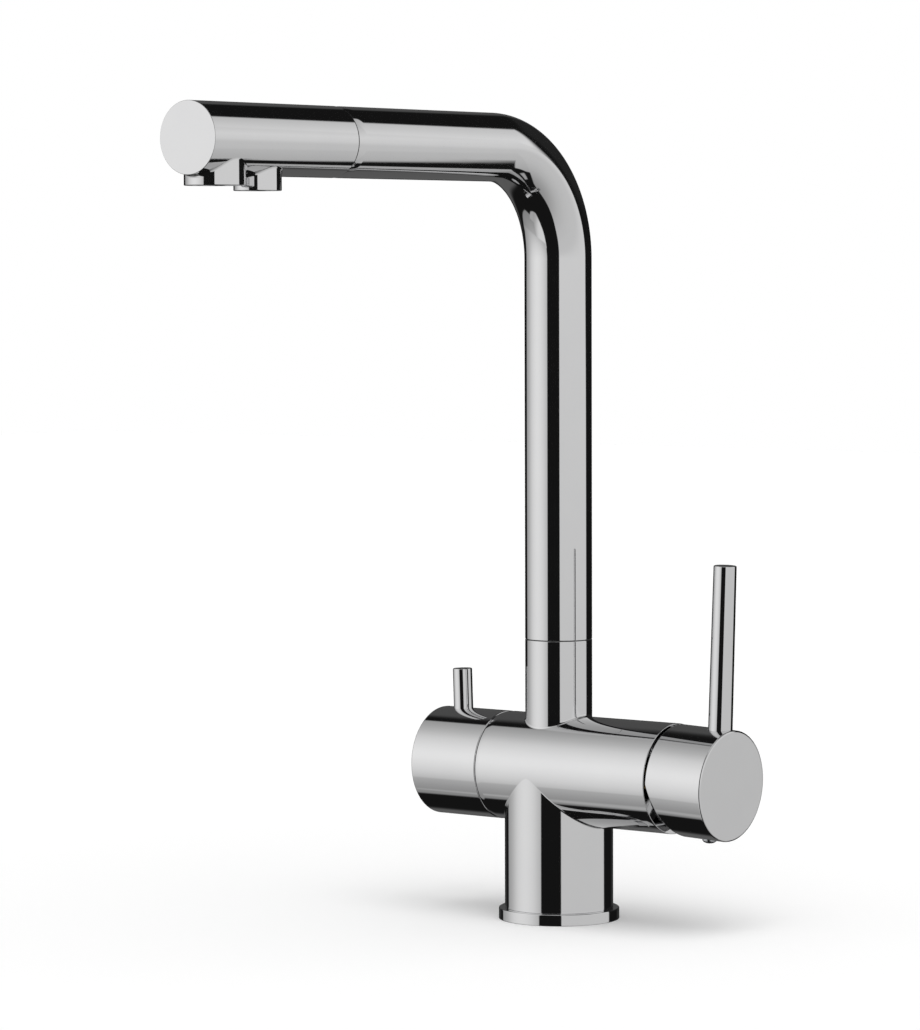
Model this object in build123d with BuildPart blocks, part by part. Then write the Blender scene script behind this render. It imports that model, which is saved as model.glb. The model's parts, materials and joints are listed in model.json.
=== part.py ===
from build123d import *
import os
from math import asin, cos, degrees, hypot, radians, sin, sqrt

os.makedirs("parts", exist_ok=True)

# A single-hole kitchen tap with three water ways: hot, cold and filtered. Sizes are in millimetres.
# The origin is the centre of the base ring's underside, on the deck. The arm points along -Y,
# the mixing lever is at +X and the filtered-water lever at -X.

# Outside form
tube_r = 14.0              # spout tube and neck
tube_wall = 1.5
barrel_r = 22.8            # cross barrel and both handle caps
barrel_z = 62.75           # height of the barrel's axis
barrel_right = 60.0
barrel_left = 26.8         # distance of the left end from the column's axis
stem_r = 22.7
stem_wall = 2.5
flange_r = 25.25
flange_height = 4.75
neck_top = 117.3
arm_z = 321.4              # height of the arm's axis
bend_r = 45.5              # centre line of the bend
arm_end = -145.6
head_start = -146.0
tip_y = -230.0
junction_r = 1.0           # rounded corners where the neck and the stem meet the barrel
edge = 0.4                 # broken edges on turned parts
cap_edge = 0.5

# Spray head outlets, both square to the arm and pointing down
mixed_outlet_y = -214.8
mixed_outlet_r = 11.7
mixed_outlet_z = 303.6
filtered_outlet_y = -190.2
filtered_outlet_r = 9.25
filtered_outlet_z = 301.9
outlet_edge = 0.3
outlet_corner_r = 0.4      # rounded corners where the outlets meet the arm

# Hoses inside the spout: offsets from the tube's centre line, outer side of the bend positive
mixed_hose_offset = 4.6
mixed_hose_r = 5.2
mixed_hose_bore = 3.6
filtered_hose_offset = -6.2
filtered_hose_r = 3.2
filtered_hose_bore = 2.0
hose_passage_r = 10.3      # clear way for both hoses through the casting
hose_bottom = 10.0
hose_split_y = -46.0       # just past the bend: from here to the spray head the hoses travel
coupling_bottom = 1.5
coupling_shoulder = 9.0
coupling_top = 24.0

# Base ring: a spigot centres it in the stem, and a groove in its underside holds the gasket
ring_spigot_r = stem_r - 1.55
ring_spigot_top = 10.0
ring_seat_r = stem_r - 1.5
ring_seat_top = 10.2
ring_bore = 19.4
gasket_inner = 21.6
gasket_outer = 24.2
gasket_height = 1.6
gasket_play = 0.05

# Connection block and the water ways under the barrel
stem_roof_z = 38.0
block_bottom_z = 26.0
block_r = 20.1
block_edge = 0.7
port_circle_r = 15.2
port_r = 3.46              # M8 x 1 tapping
port_depth = 10.0
port_way_r = 2.4
port_seal_inner = 2.9
port_seal_outer = 4.3
port_seal_height = 0.9
seal_play = 0.05
way_r = 2.6                # drilled water way
filter_way_r = 2.0
filter_outlet_drop = 5.0   # the filtered water leaves the valve this far under the barrel's axis
stud_y = 14.2
stud_r = 2.5               # M6 tapping
block_screw_at = [(7.14, 13.4), (-7.14, -13.4)]
screw_core_r = 1.65
screw_shank_r = 1.6
screw_clearance_r = 2.15
screw_head_r = 3.5
screw_head_low = 26.4
screw_head_top = 30.2
screw_recess_r = 3.7
screw_tip_z = 45.0
screw_hole_top = 46.0
screw_socket = 3.4         # across corners
screw_socket_depth = 2.0

# Mixing cartridge, distances to the right along the barrel's axis
chamber_floor = 24.0
cartridge_r = 17.5
chamber_r = cartridge_r + 0.25
fixed_disc_x = 30.0
fixed_disc_r = 14.5
disc_thickness = 4.0
moving_disc_r = 12.0
carrier_end = 43.2
housing_bore_r = 16.2
housing_step = 48.0
housing_neck_r = 13.3
housing_neck_bore = 11.7
housing_end = 57.0
housing_lip = 46.3
nut_thread_start = 47.5
nut_thread_r = 19.05
nut_inner = 13.5
nut_outer = 19.0
nut_end = 56.8
nut_slot_r = 17.5
nut_slot_depth = 2.5
guide_start = 43.4
guide_flange_r = 16.0
guide_r = 11.6
guide_end = 58.5
pivot_x = 54.0             # the lever tilts about this pin
pivot_pin_r = 1.5
pivot_pin_reach = 10.8
crank = 13.0               # from the pivot to the ball that moves the disc
ball_r = 2.2
ball_socket_r = 2.35
rest_tilt = 2.0            # degrees, the lever's lean when shut
hot_port = (8.7, 5.5)      # offsets from the barrel's axis in Y and Z
cold_port = (-8.7, 5.5)
mixed_port = (0.0, -7.0)
cartridge_ports = (hot_port, cold_port, mixed_port)
base_seal_width = 1.5
locating_pins_y = (-13.0, 13.0)
locating_pin_r = 1.4
carrier_pins_y = (-8.0, 8.0)
carrier_pin_z = 5.0
carrier_pin_r = 1.2

# Ball-shaped shroud about the pivot, distances from the pivot along the barrel's axis
dome_r = 17.3
dome_wall = 1.2
dome_opening_r = 10.5
dome_foot = 3.0
dome_foot_r = 15.5
dome_lip = 6.4
dome_lip_r = 18.9

# Mixing handle, measured from the pivot along the handle's own axis
cap_rim = 6.8
cap_face = 34.12
cap_bore_r = 20.3
cap_bore_end = 18.5
cap_cut_slope = 0.34       # the lower half of the rim is cut back, to clear the barrel as it tilts
socket_depth = 11.5
socket_play = 0.1
lever_at = 27.6
lever_base_r = 5.1
lever_top_r = 4.8
lever_top = 89.67
lever_seat = 22.15         # the lever's shoulder sits in a shallow counterbore
lever_stud_r = 2.9
lever_stud_end = 10.6
plug_at = 23.86
plug_r = 3.05
plug_seat = 18.0
plug_end = 24.9
plug_edge = 0.6
grub_r = 2.4
grub_near = 4.05
grub_far = 11.0
grub_socket = 2.9
grub_socket_start = 8.5
spindle_side = 8.0
spindle_boss = 9.0
spindle_square_start = 5.0
spindle_length = 24.0

# Filtered-water valve and handle, distances to the left of the column's axis
filter_cap_rim = 27.2
filter_cap_face = 61.4
filter_cap_bore_end = 45.5
filter_lever_at = 50.0
filter_lever_lean = 1.9    # degrees
filter_lever_r = 4.1
filter_lever_top = 39.6
filter_lever_seat = 22.2
filter_stud_r = 2.4
filter_stud_end = 8.2
filter_grub_at = 51.0
filter_grub_r = 2.05
filter_grub_near = 3.05
filter_grub_far = 9.0
filter_grub_socket = 2.4
filter_grub_socket_start = 7.0
nose_end = 33.0            # threaded nose of the casting inside the cap
nose_r = 12.5
seat_x = 19.0
inlet_pocket_x = 12.2
inlet_pocket_r = 4.6
filter_bore_r = 9.0
valve_start = 19.3
valve_skirt_r = 8.2
valve_skirt_end = 26.0
valve_thread_r = 8.9
valve_hex_x = 33.8
valve_hex_r = 11.8
valve_hex_width = 5.2
valve_neck_r = 7.5
valve_end = 44.0
valve_cavity_r = 7.0
valve_cavity_end = 27.05
valve_window_x = 23.0
valve_window_length = 2.8
valve_window_width = 5.0
valve_disc_x = 20.0
valve_disc_r = 6.9
valve_disc_thickness = 2.5
valve_port_offset = 3.9
valve_port_r = 1.7
moving_disc_slack_r = 6.8
disc_key_x = 24.0
disc_key_width = 2.0
filter_spindle_r = 3.5
filter_collar_r = 6.6
filter_collar_end = 27.0
filter_square_x = 45.0
filter_square = 6.0
spindle_seals_x = (30.0, 34.0)
spindle_seal_width = 1.5
spindle_seal_inner = 2.7
clip_x = 44.05
clip_width = 0.9
clip_inner = 2.9
clip_outer = 5.6
clip_gap = 4.4

# Swivel joint in the neck
neck_bore_r = 12.3
neck_floor_z = 92.0
spigot_r = 11.8
spigot_bottom = 94.0
spigot_top = 131.0
spigot_bore_r = 10.0
washer_thickness = 0.28
tube_bottom = neck_top + 0.3
slip_rings_z = (96.0, 109.0)
slip_ring_height = 4.0
slip_groove_r = 11.1
stop_z = 104.0
stop_hole_r = 2.0
stop_r = 1.95
stop_tip_r = 1.3
stop_tip_end = 11.0
stop_shoulder = 12.4
stop_head = 13.8
stop_socket = 2.3
stop_slot_r = 10.8
stop_slot_half_height = 1.6
swivel_limit = 70.0        # degrees each way

# Docking of the spray head in the end of the arm
tail_r = 11.32
tail_end = -123.0
tail_flange_r = 12.1
tail_flange_end = -160.0
collar_r = tail_r + 0.08
collar_back = -120.0
collar_lip = 0.5
key_drop = 11.4
key_width = 2.4
key_height = 1.2
key_length = 22.0
keyway_width = 2.6
keyway_height = 1.5
keyway_length = 24.0
friction_groove = (-143.0, -141.0)
friction_groove_r = 10.6
friction_play = 0.05
mixed_way_r = 3.4
filtered_way_r = 2.0
mixed_valve = (-153.0, -138.0)
mixed_valve_r = 5.05
filtered_valve = (-148.0, -136.0)
filtered_valve_r = 3.0
ferrule_back = -116.0
mixed_ferrule_r = 5.7
mixed_ferrule_step = -128.0
filtered_ferrule_r = 3.7
filtered_ferrule_step = -126.0

# Inside the spray head
shell_bore_r = 12.2
tip_wall = 2.5
mixed_shell_bore = 10.6
filtered_shell_bore = 8.1
waterway_tip_gap = 2.7
outlet_roof_z = 309.0
mixed_ring_top = 312.4
mixed_pocket_r = 8.0
mixed_pocket_top = 317.0
mixed_drop_r = 3.0
filtered_ring_top = 311.0
filtered_pocket_r = 5.5
filtered_pocket_top = 313.2
filtered_drop_r = 1.8
aerator_low = 304.5
aerator_high = 310.6
aerator_r = 9.2
aerator_cell_r = 0.8
aerator_pitch = 1.0
aerator_cells_across = 9
aerator_field_r = 8.2
former_low = 302.8
former_high = 309.2
former_r = 6.6
former_hole_r = 0.7
former_rings = ((2.3, 6), (4.6, 12))   # radius of each ring of holes, and how many it has
outlet_seal_height = 0.6

RIGHT = Vector(1, 0, 0)
LEFT = Vector(-1, 0, 0)
BACK = Vector(0, 1, 0)
UP = Vector(0, 0, 1)
DOWN = Vector(0, 0, -1)
deck = Vector(0, 0, 0)
barrel = Vector(0, 0, barrel_z)
arm = Vector(0, 0, arm_z)
pivot = Vector(pivot_x, 0, barrel_z)
lean = radians(rest_tilt)
handle_axis = Vector(cos(lean), 0, -sin(lean))
handle_up = Vector(sin(lean), 0, cos(lean))
handle_down = handle_up * -1


def turning_plane(start, direction):
    """A plane through a turning axis. Its X runs along the axis, and its Y is a radius."""
    side = RIGHT if abs(direction.X) < 0.5 else BACK
    return Plane(origin=start, x_dir=direction, z_dir=direction.cross(side))


def turned(start, direction, *outline, mode=Mode.ADD):
    """Turn an outline of (distance along the axis, radius) about the line from start."""
    with BuildSketch(turning_plane(start, direction)) as section:
        with BuildLine():
            Polyline(*outline, close=True)
        make_face()
    revolve(section.sketch, axis=Axis(start, direction), mode=mode)


def rod(start, direction, near, far, radius, mode=Mode.ADD):
    """A plain cylinder between two distances along a line, for a shaft or a drilled hole."""
    turned(start, direction, (near, 0), (near, radius), (far, radius), (far, 0), mode=mode)


def ring(start, direction, near, far, inner, outer, mode=Mode.ADD):
    """A plain ring, such as a seal or a groove."""
    turned(start, direction, (near, inner), (near, outer), (far, outer), (far, inner), mode=mode)


def drill(start, direction, near, far, radius):
    rod(start, direction, near, far, radius, mode=Mode.SUBTRACT)


def square_to(start, direction, distance):
    """A plane across a line, with its X pointing up."""
    up = handle_up if direction is handle_axis else UP
    return Plane(origin=start + direction * distance, x_dir=up, z_dir=direction)


def bar(start, direction, near, far, height, width, mode=Mode.ADD):
    """A straight bar of rectangular section along a line."""
    with BuildSketch(square_to(start, direction, near)) as section:
        Rectangle(height, width)
    extrude(section.sketch, amount=far - near, mode=mode)


def hex_socket(start, direction, near, far, across_corners):
    """A hexagon key socket."""
    side = RIGHT if abs(direction.X) < 0.5 else BACK
    with BuildSketch(Plane(origin=start + direction * near, x_dir=side, z_dir=direction)) as key:
        RegularPolygon(across_corners / 2, 6)
    extrude(key.sketch, amount=far - near, mode=Mode.SUBTRACT)


def write(piece, name):
    piece.part.label = name
    export_step(piece.part, f"parts/{name}.step")


def port_at(angle):
    return (port_circle_r * cos(radians(angle)), port_circle_r * sin(radians(angle)))


def across_barrel(offset):
    """A line along the barrel, at an offset of (Y, Z) from its axis."""
    return barrel + Vector(0, *offset)


hot_inlet_at = port_at(35)
cold_inlet_at = port_at(-35)
mixed_outlet_at = port_at(0)
filtered_inlet_at = port_at(159)
filtered_outlet_at = port_at(-159)
ports = [hot_inlet_at, cold_inlet_at, mixed_outlet_at, filtered_inlet_at, filtered_outlet_at]


# --- Body ---------------------------------------------------------------------------------------

with BuildPart() as tap_body:
    rod(deck, UP, flange_height, barrel_z, stem_r)
    turned(
        barrel, RIGHT,
        (-barrel_left, 0), (-barrel_left, barrel_r - edge / 2), (edge / 2 - barrel_left, barrel_r),
        (barrel_right - edge / 2, barrel_r), (barrel_right, barrel_r - edge / 2), (barrel_right, 0),
    )
    turned(
        deck, UP,
        (barrel_z, 0), (barrel_z, tube_r), (neck_top - edge / 2, tube_r),
        (neck_top, tube_r - edge / 2), (neck_top, 0),
    )
    fillet(edges().filter_by(GeomType.BSPLINE), junction_r)
    rod(barrel, LEFT, barrel_left, nose_end, nose_r)
    # hollow stem, hose passage and swivel bore
    drill(deck, UP, flange_height, ring_seat_top, ring_seat_r)
    drill(deck, UP, flange_height, stem_roof_z, stem_r - stem_wall)
    drill(deck, UP, stem_roof_z, neck_floor_z, hose_passage_r)
    drill(deck, UP, neck_floor_z, neck_top, neck_bore_r)
    drill(Vector(0, 0, stop_z), BACK, neck_bore_r - 1, tube_r, stop_hole_r)
    # cartridge chamber, with the thread for its retaining nut
    drill(barrel, RIGHT, chamber_floor, nut_thread_start, chamber_r)
    drill(barrel, RIGHT, nut_thread_start, barrel_right, nut_thread_r)
    for port in (hot_port, cold_port):
        drill(across_barrel(port), RIGHT, hot_inlet_at[0], chamber_floor, way_r)
        drill(Vector(hot_inlet_at[0], port[0], 0), UP, stem_roof_z, barrel_z + port[1], way_r)
    drill(across_barrel(mixed_port), RIGHT, mixed_outlet_at[0], chamber_floor, way_r)
    drill(Vector(*mixed_outlet_at, 0), UP, stem_roof_z, barrel_z + mixed_port[1], way_r)
    for y in locating_pins_y:
        drill(across_barrel((y, 0)), RIGHT, chamber_floor - 2.5, chamber_floor, locating_pin_r + 0.1)
    # filtered-water valve chamber, its inlet pocket and its two water ways
    drill(barrel, LEFT, seat_x, nose_end, filter_bore_r)
    drill(barrel, LEFT, inlet_pocket_x, seat_x, inlet_pocket_r)
    drill(Vector(*filtered_inlet_at, 0), UP, stem_roof_z, barrel_z, filter_way_r)
    filter_outlet_way = (filtered_outlet_at[1], -filter_outlet_drop)
    drill(Vector(*filtered_outlet_at, 0), UP, stem_roof_z, barrel_z - filter_outlet_drop, filter_way_r)
    drill(across_barrel(filter_outlet_way), LEFT, -filtered_outlet_at[0], seat_x, filter_way_r)
    for x, y in block_screw_at:
        drill(Vector(x, y, 0), UP, stem_roof_z, screw_hole_top, screw_core_r)
write(tap_body, "tap_body")

with BuildPart() as base_ring:
    turned(
        deck, UP,
        (0, ring_bore), (0, flange_r), (flange_height - edge, flange_r), (flange_height, flange_r - edge),
        (flange_height, ring_spigot_r), (ring_spigot_top, ring_spigot_r), (ring_spigot_top, ring_bore),
    )
    ring(deck, UP, 0, gasket_height, gasket_inner, gasket_outer, mode=Mode.SUBTRACT)
write(base_ring, "base_ring")

with BuildPart() as base_gasket:
    ring(
        deck, UP, 0, gasket_height - gasket_play, gasket_inner + gasket_play, gasket_outer - gasket_play,
    )
write(base_gasket, "base_gasket")

with BuildPart() as connection_block:
    turned(
        deck, UP,
        (block_bottom_z, hose_passage_r), (block_bottom_z, block_r - block_edge),
        (block_bottom_z + block_edge, block_r), (stem_roof_z, block_r), (stem_roof_z, hose_passage_r),
    )
    for x, y in ports:
        port_line = Vector(x, y, 0)
        drill(port_line, UP, block_bottom_z, block_bottom_z + port_depth, port_r)
        drill(port_line, UP, block_bottom_z + port_depth, stem_roof_z, port_way_r)
        ring(
            port_line, UP, stem_roof_z - port_seal_height, stem_roof_z, port_seal_inner, port_seal_outer,
            mode=Mode.SUBTRACT,
        )
    for y in (-stud_y, stud_y):
        drill(Vector(0, y, 0), UP, block_bottom_z, block_bottom_z + port_depth, stud_r)
    for x, y in block_screw_at:
        drill(Vector(x, y, 0), UP, block_bottom_z, stem_roof_z, screw_clearance_r)
        drill(Vector(x, y, 0), UP, block_bottom_z, screw_head_top, screw_recess_r)
write(connection_block, "connection_block")

with BuildPart() as block_seals:
    for x, y in ports:
        ring(
            Vector(x, y, 0), UP, stem_roof_z - port_seal_height + seal_play, stem_roof_z,
            port_seal_inner + seal_play, port_seal_outer - seal_play,
        )
write(block_seals, "block_seals")

with BuildPart() as block_screws:
    for x, y in block_screw_at:
        turned(
            Vector(x, y, 0), UP,
            (screw_head_low, 0), (screw_head_low, screw_head_r - edge / 2),
            (screw_head_low + edge / 2, screw_head_r), (screw_head_top, screw_head_r),
            (screw_head_top, screw_shank_r), (screw_tip_z, screw_shank_r), (screw_tip_z, 0),
        )
        hex_socket(
            Vector(x, y, 0), UP, screw_head_low, screw_head_low + screw_socket_depth, screw_socket,
        )
write(block_screws, "block_screws")


# --- Mixing cartridge, fixed pieces -------------------------------------------------------------

with BuildPart() as mixer_cartridge_base:
    rod(barrel, RIGHT, chamber_floor, fixed_disc_x, cartridge_r)
    for y in locating_pins_y:
        rod(across_barrel((y, 0)), RIGHT, chamber_floor - 2.0, chamber_floor, locating_pin_r)
    for port in cartridge_ports:
        drill(across_barrel(port), RIGHT, chamber_floor, fixed_disc_x, way_r)
        drill(
            across_barrel(port), RIGHT, chamber_floor, chamber_floor + base_seal_width,
            way_r + base_seal_width,
        )
write(mixer_cartridge_base, "mixer_cartridge_base")

with BuildPart() as mixer_base_seals:
    for port in cartridge_ports:
        ring(
            across_barrel(port), RIGHT, chamber_floor, chamber_floor + base_seal_width - seal_play,
            way_r, way_r + base_seal_width - seal_play,
        )
write(mixer_base_seals, "mixer_base_seals")

with BuildPart() as mixer_fixed_disc:
    rod(barrel, RIGHT, fixed_disc_x, fixed_disc_x + disc_thickness, fixed_disc_r)
    for port in cartridge_ports:
        drill(across_barrel(port), RIGHT, fixed_disc_x, fixed_disc_x + disc_thickness, way_r)
write(mixer_fixed_disc, "mixer_fixed_disc")

with BuildPart() as mixer_cartridge_housing:
    turned(
        barrel, RIGHT,
        (fixed_disc_x, housing_bore_r), (fixed_disc_x, cartridge_r), (housing_step, cartridge_r),
        (housing_step, housing_neck_r), (housing_end, housing_neck_r), (housing_end, housing_neck_bore),
        (housing_lip, housing_neck_bore), (housing_lip, housing_bore_r),
    )
write(mixer_cartridge_housing, "mixer_cartridge_housing")

with BuildPart() as mixer_retaining_nut:
    ring(barrel, RIGHT, housing_step, nut_end, nut_inner, nut_outer)
    # four slots for the nut's key
    with BuildSketch(square_to(barrel, RIGHT, nut_end - nut_slot_depth)):
        with PolarLocations(nut_slot_r, 4):
            Rectangle(4, 3)
    extrude(amount=nut_slot_depth, mode=Mode.SUBTRACT)
write(mixer_retaining_nut, "mixer_retaining_nut")


def on_ball(radius, distance_off_axis):
    """The point of the shroud's ball that is this far off its axis."""
    return (sqrt(radius**2 - distance_off_axis**2), distance_off_axis)


with BuildPart() as mixer_shroud:
    inner_r = dome_r - dome_wall
    half_way = radians(50)
    rim_point = (dome_lip, sqrt(dome_r**2 - dome_lip**2))
    with BuildSketch(turning_plane(pivot, RIGHT)) as dome_section:
        with BuildLine():
            Polyline((dome_foot, dome_foot_r), (dome_foot, dome_lip_r), (dome_lip, dome_lip_r), rim_point)
            ThreePointArc(
                rim_point,
                (dome_r * cos(half_way), dome_r * sin(half_way)),
                on_ball(dome_r, dome_opening_r),
            )
            Line(on_ball(dome_r, dome_opening_r), on_ball(inner_r, dome_opening_r))
            ThreePointArc(
                on_ball(inner_r, dome_opening_r),
                (inner_r * cos(half_way), inner_r * sin(half_way)),
                on_ball(inner_r, dome_foot_r),
            )
            Line(on_ball(inner_r, dome_foot_r), (dome_foot, dome_foot_r))
        make_face()
    revolve(dome_section.sketch, axis=Axis(pivot, RIGHT))
write(mixer_shroud, "mixer_shroud")


# --- Mixing cartridge, pieces that turn for temperature -----------------------------------------

with BuildPart() as mixer_spindle_guide:
    turned(
        barrel, RIGHT,
        (guide_start, 0), (guide_start, guide_flange_r), (housing_lip - 0.1, guide_flange_r),
        (housing_lip - 0.1, guide_r), (guide_end - cap_edge, guide_r), (guide_end, guide_r - cap_edge),
        (guide_end, 0),
    )
    slot_height = 13.0     # room for the spindle to tilt
    bar(barrel, RIGHT, guide_start, guide_end, slot_height, spindle_side + 0.2, mode=Mode.SUBTRACT)
    drill(pivot, BACK, -guide_r - 0.4, guide_r + 0.4, pivot_pin_r)
write(mixer_spindle_guide, "mixer_spindle_guide")

with BuildPart() as mixer_pivot_pin:
    rod(pivot, BACK, -pivot_pin_reach, pivot_pin_reach, pivot_pin_r)
write(mixer_pivot_pin, "mixer_pivot_pin")


# --- Mixing cartridge, sliding disc -------------------------------------------------------------

disc_centre = barrel + UP * (crank * sin(lean))
moving_disc_x = fixed_disc_x + disc_thickness
carrier_x = moving_disc_x + disc_thickness

with BuildPart() as mixer_moving_disc:
    rod(disc_centre, RIGHT, moving_disc_x, carrier_x, moving_disc_r)
    # the mixing pocket joins the hot and cold ports to the outlet once it rises
    with BuildSketch(square_to(disc_centre, RIGHT, moving_disc_x)):
        with Locations((-4.6, 0)):
            RectangleRounded(12.5, 17.0, 3.0)
        Circle(10.6, mode=Mode.INTERSECT)
    extrude(amount=disc_thickness / 2, mode=Mode.SUBTRACT)
    for y in carrier_pins_y:
        pin_line = disc_centre + Vector(0, y, carrier_pin_z)
        drill(pin_line, RIGHT, carrier_x - 1.5, carrier_x, carrier_pin_r)
write(mixer_moving_disc, "mixer_moving_disc")

with BuildPart() as mixer_disc_carrier:
    turned(
        disc_centre, RIGHT,
        (carrier_x, 0), (carrier_x, moving_disc_r), (carrier_end - cap_edge, moving_disc_r),
        (carrier_end, moving_disc_r - cap_edge), (carrier_end, 0),
    )
    for y in carrier_pins_y:
        pin_line = disc_centre + Vector(0, y, carrier_pin_z)
        rod(pin_line, RIGHT, carrier_x - 1.4, carrier_x, carrier_pin_r)
    drill(disc_centre, RIGHT, carrier_x + 0.7, carrier_end, ball_socket_r)
write(mixer_disc_carrier, "mixer_disc_carrier")


# --- Mixing lever -------------------------------------------------------------------------------

with BuildPart() as mixer_spindle:
    with Locations(pivot - handle_axis * crank):
        Sphere(ball_r)
    rod(pivot, handle_axis, -crank, -5.5, 1.5)
    bar(pivot, handle_axis, -6.0, spindle_square_start, spindle_boss, spindle_side)
    bar(
        pivot, handle_axis, spindle_square_start, spindle_square_start + spindle_length,
        spindle_side, spindle_side,
    )
    drill(pivot, BACK, -5, 5, pivot_pin_r + 0.05)
write(mixer_spindle, "mixer_spindle")

handle_side = Plane(origin=pivot, x_dir=handle_axis, z_dir=(0, -1, 0))
lever_foot = pivot + handle_axis * lever_at
plug_line = pivot + handle_axis * plug_at
cut_depth = 30.0           # past the cap all round

with BuildPart() as mixer_handle_cap:
    turned(
        pivot, handle_axis,
        (cap_rim, cap_bore_r), (cap_rim, barrel_r - edge / 2), (cap_rim + edge / 2, barrel_r),
        (cap_face - cap_edge, barrel_r), (cap_face, barrel_r - cap_edge), (cap_face, 0),
        (cap_bore_end, 0), (cap_bore_end, cap_bore_r),
    )
    # oblique cut of the rim's lower half
    with BuildSketch(handle_side) as cut:
        with BuildLine():
            Polyline(
                (0, 0), (cap_rim, 0), (cap_rim + cut_depth * cap_cut_slope, -cut_depth), (0, -cut_depth),
                close=True,
            )
        make_face()
    extrude(cut.sketch, amount=cut_depth, both=True, mode=Mode.SUBTRACT)
    # square socket for the spindle, seat of the lever, and the clamping screw's hole
    socket_side = spindle_side + socket_play
    bar(
        pivot, handle_axis, cap_bore_end, cap_bore_end + socket_depth, socket_side, socket_side,
        mode=Mode.SUBTRACT,
    )
    drill(lever_foot, handle_up, lever_stud_end - 0.2, barrel_r, lever_stud_r + 0.1)
    drill(lever_foot, handle_up, lever_seat, barrel_r + 1, lever_base_r + 0.05)
    drill(plug_line, handle_down, grub_near - 0.05, plug_seat, grub_r + 0.05)
    drill(plug_line, handle_down, plug_seat, barrel_r + 1, plug_r + 0.05)
write(mixer_handle_cap, "mixer_handle_cap")

with BuildPart() as mixer_lever_rod:
    turned(
        lever_foot, handle_up,
        (lever_stud_end, 0), (lever_stud_end, lever_stud_r), (lever_seat, lever_stud_r),
        (lever_seat, lever_base_r), (lever_top - cap_edge, lever_top_r),
        (lever_top, lever_top_r - cap_edge), (lever_top, 0),
    )
write(mixer_lever_rod, "mixer_lever_rod")

with BuildPart() as mixer_grub_screw:
    rod(plug_line, handle_down, grub_near, grub_far, grub_r)
    hex_socket(plug_line, handle_down, grub_socket_start, grub_far, grub_socket)
write(mixer_grub_screw, "mixer_grub_screw")

with BuildPart() as mixer_screw_plug:
    turned(
        plug_line, handle_down,
        (plug_seat + 0.05, 0), (plug_seat + 0.05, plug_r), (plug_end - plug_edge, plug_r),
        (plug_end, plug_r - plug_edge), (plug_end, 0),
    )
write(mixer_screw_plug, "mixer_screw_plug")


# --- Filtered-water valve, fixed pieces ---------------------------------------------------------

with BuildPart() as filter_valve_body:
    turned(
        barrel, LEFT,
        (valve_start, 0), (valve_start, valve_skirt_r), (valve_skirt_end, valve_skirt_r),
        (valve_skirt_end, valve_thread_r), (valve_hex_x, valve_thread_r), (valve_hex_x, valve_neck_r),
        (valve_end - cap_edge, valve_neck_r), (valve_end, valve_neck_r - cap_edge), (valve_end, 0),
    )
    with BuildSketch(square_to(barrel, LEFT, valve_hex_x)):
        RegularPolygon(valve_hex_r, 6)
    extrude(amount=valve_hex_width)
    drill(barrel, LEFT, valve_start, valve_cavity_end, valve_cavity_r)
    drill(barrel, LEFT, valve_cavity_end, valve_end, filter_spindle_r + 0.05)
    # windows that let the water out sideways
    bar(
        barrel, LEFT, valve_window_x, valve_window_x + valve_window_length, 20, valve_window_width,
        mode=Mode.SUBTRACT,
    )
write(filter_valve_body, "filter_valve_body")

with BuildPart() as filter_valve_seal:
    ring(barrel, LEFT, nose_end, valve_hex_x, filter_bore_r, nose_r - 1)
write(filter_valve_seal, "filter_valve_seal")

with BuildPart() as filter_seat_seal:
    ring(barrel, LEFT, seat_x, valve_disc_x, 5.7, valve_disc_r)
write(filter_seat_seal, "filter_seat_seal")

with BuildPart() as filter_fixed_disc:
    rod(barrel, LEFT, valve_disc_x, valve_disc_x + valve_disc_thickness, valve_disc_r)
    for z in (-valve_port_offset, valve_port_offset):
        drill(
            across_barrel((0, z)), LEFT, valve_disc_x, valve_disc_x + valve_disc_thickness, valve_port_r,
        )
write(filter_fixed_disc, "filter_fixed_disc")


# --- Filtered-water valve, pieces that turn with its handle -------------------------------------

filter_disc_start = valve_disc_x + valve_disc_thickness
filter_disc_end = filter_disc_start + valve_disc_thickness

with BuildPart() as filter_moving_disc:
    rod(barrel, LEFT, filter_disc_start, filter_disc_end, moving_disc_slack_r)
    for y in (-valve_port_offset, valve_port_offset):
        drill(across_barrel((y, 0)), LEFT, filter_disc_start, filter_disc_end, valve_port_r)
    bar(barrel, LEFT, disc_key_x, filter_disc_end, 14, disc_key_width, mode=Mode.SUBTRACT)
write(filter_moving_disc, "filter_moving_disc")

with BuildPart() as filter_spindle:
    turned(
        barrel, LEFT,
        (filter_disc_end, 0), (filter_disc_end, filter_collar_r), (filter_collar_end, filter_collar_r),
        (filter_collar_end, filter_spindle_r), (filter_square_x, filter_spindle_r), (filter_square_x, 0),
    )
    bar(barrel, LEFT, disc_key_x, filter_disc_end, 12, disc_key_width)
    bar(
        barrel, LEFT, filter_square_x, filter_square_x + socket_depth - 0.5, filter_square, filter_square,
    )
    for near in spindle_seals_x:
        ring(
            barrel, LEFT, near, near + spindle_seal_width, spindle_seal_inner, filter_spindle_r + 0.5,
            mode=Mode.SUBTRACT,
        )
    ring(barrel, LEFT, clip_x, clip_x + clip_width, clip_inner, filter_spindle_r + 0.5, mode=Mode.SUBTRACT)
    for y in (-valve_port_offset, valve_port_offset):
        drill(across_barrel((y, 0)), LEFT, filter_disc_end, filter_collar_end, valve_port_r)
write(filter_spindle, "filter_spindle")

with BuildPart() as filter_spindle_seals:
    for near in spindle_seals_x:
        ring(
            barrel, LEFT, near + seal_play, near + spindle_seal_width - seal_play, spindle_seal_inner,
            filter_spindle_r + 0.02,
        )
write(filter_spindle_seals, "filter_spindle_seals")

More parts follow.
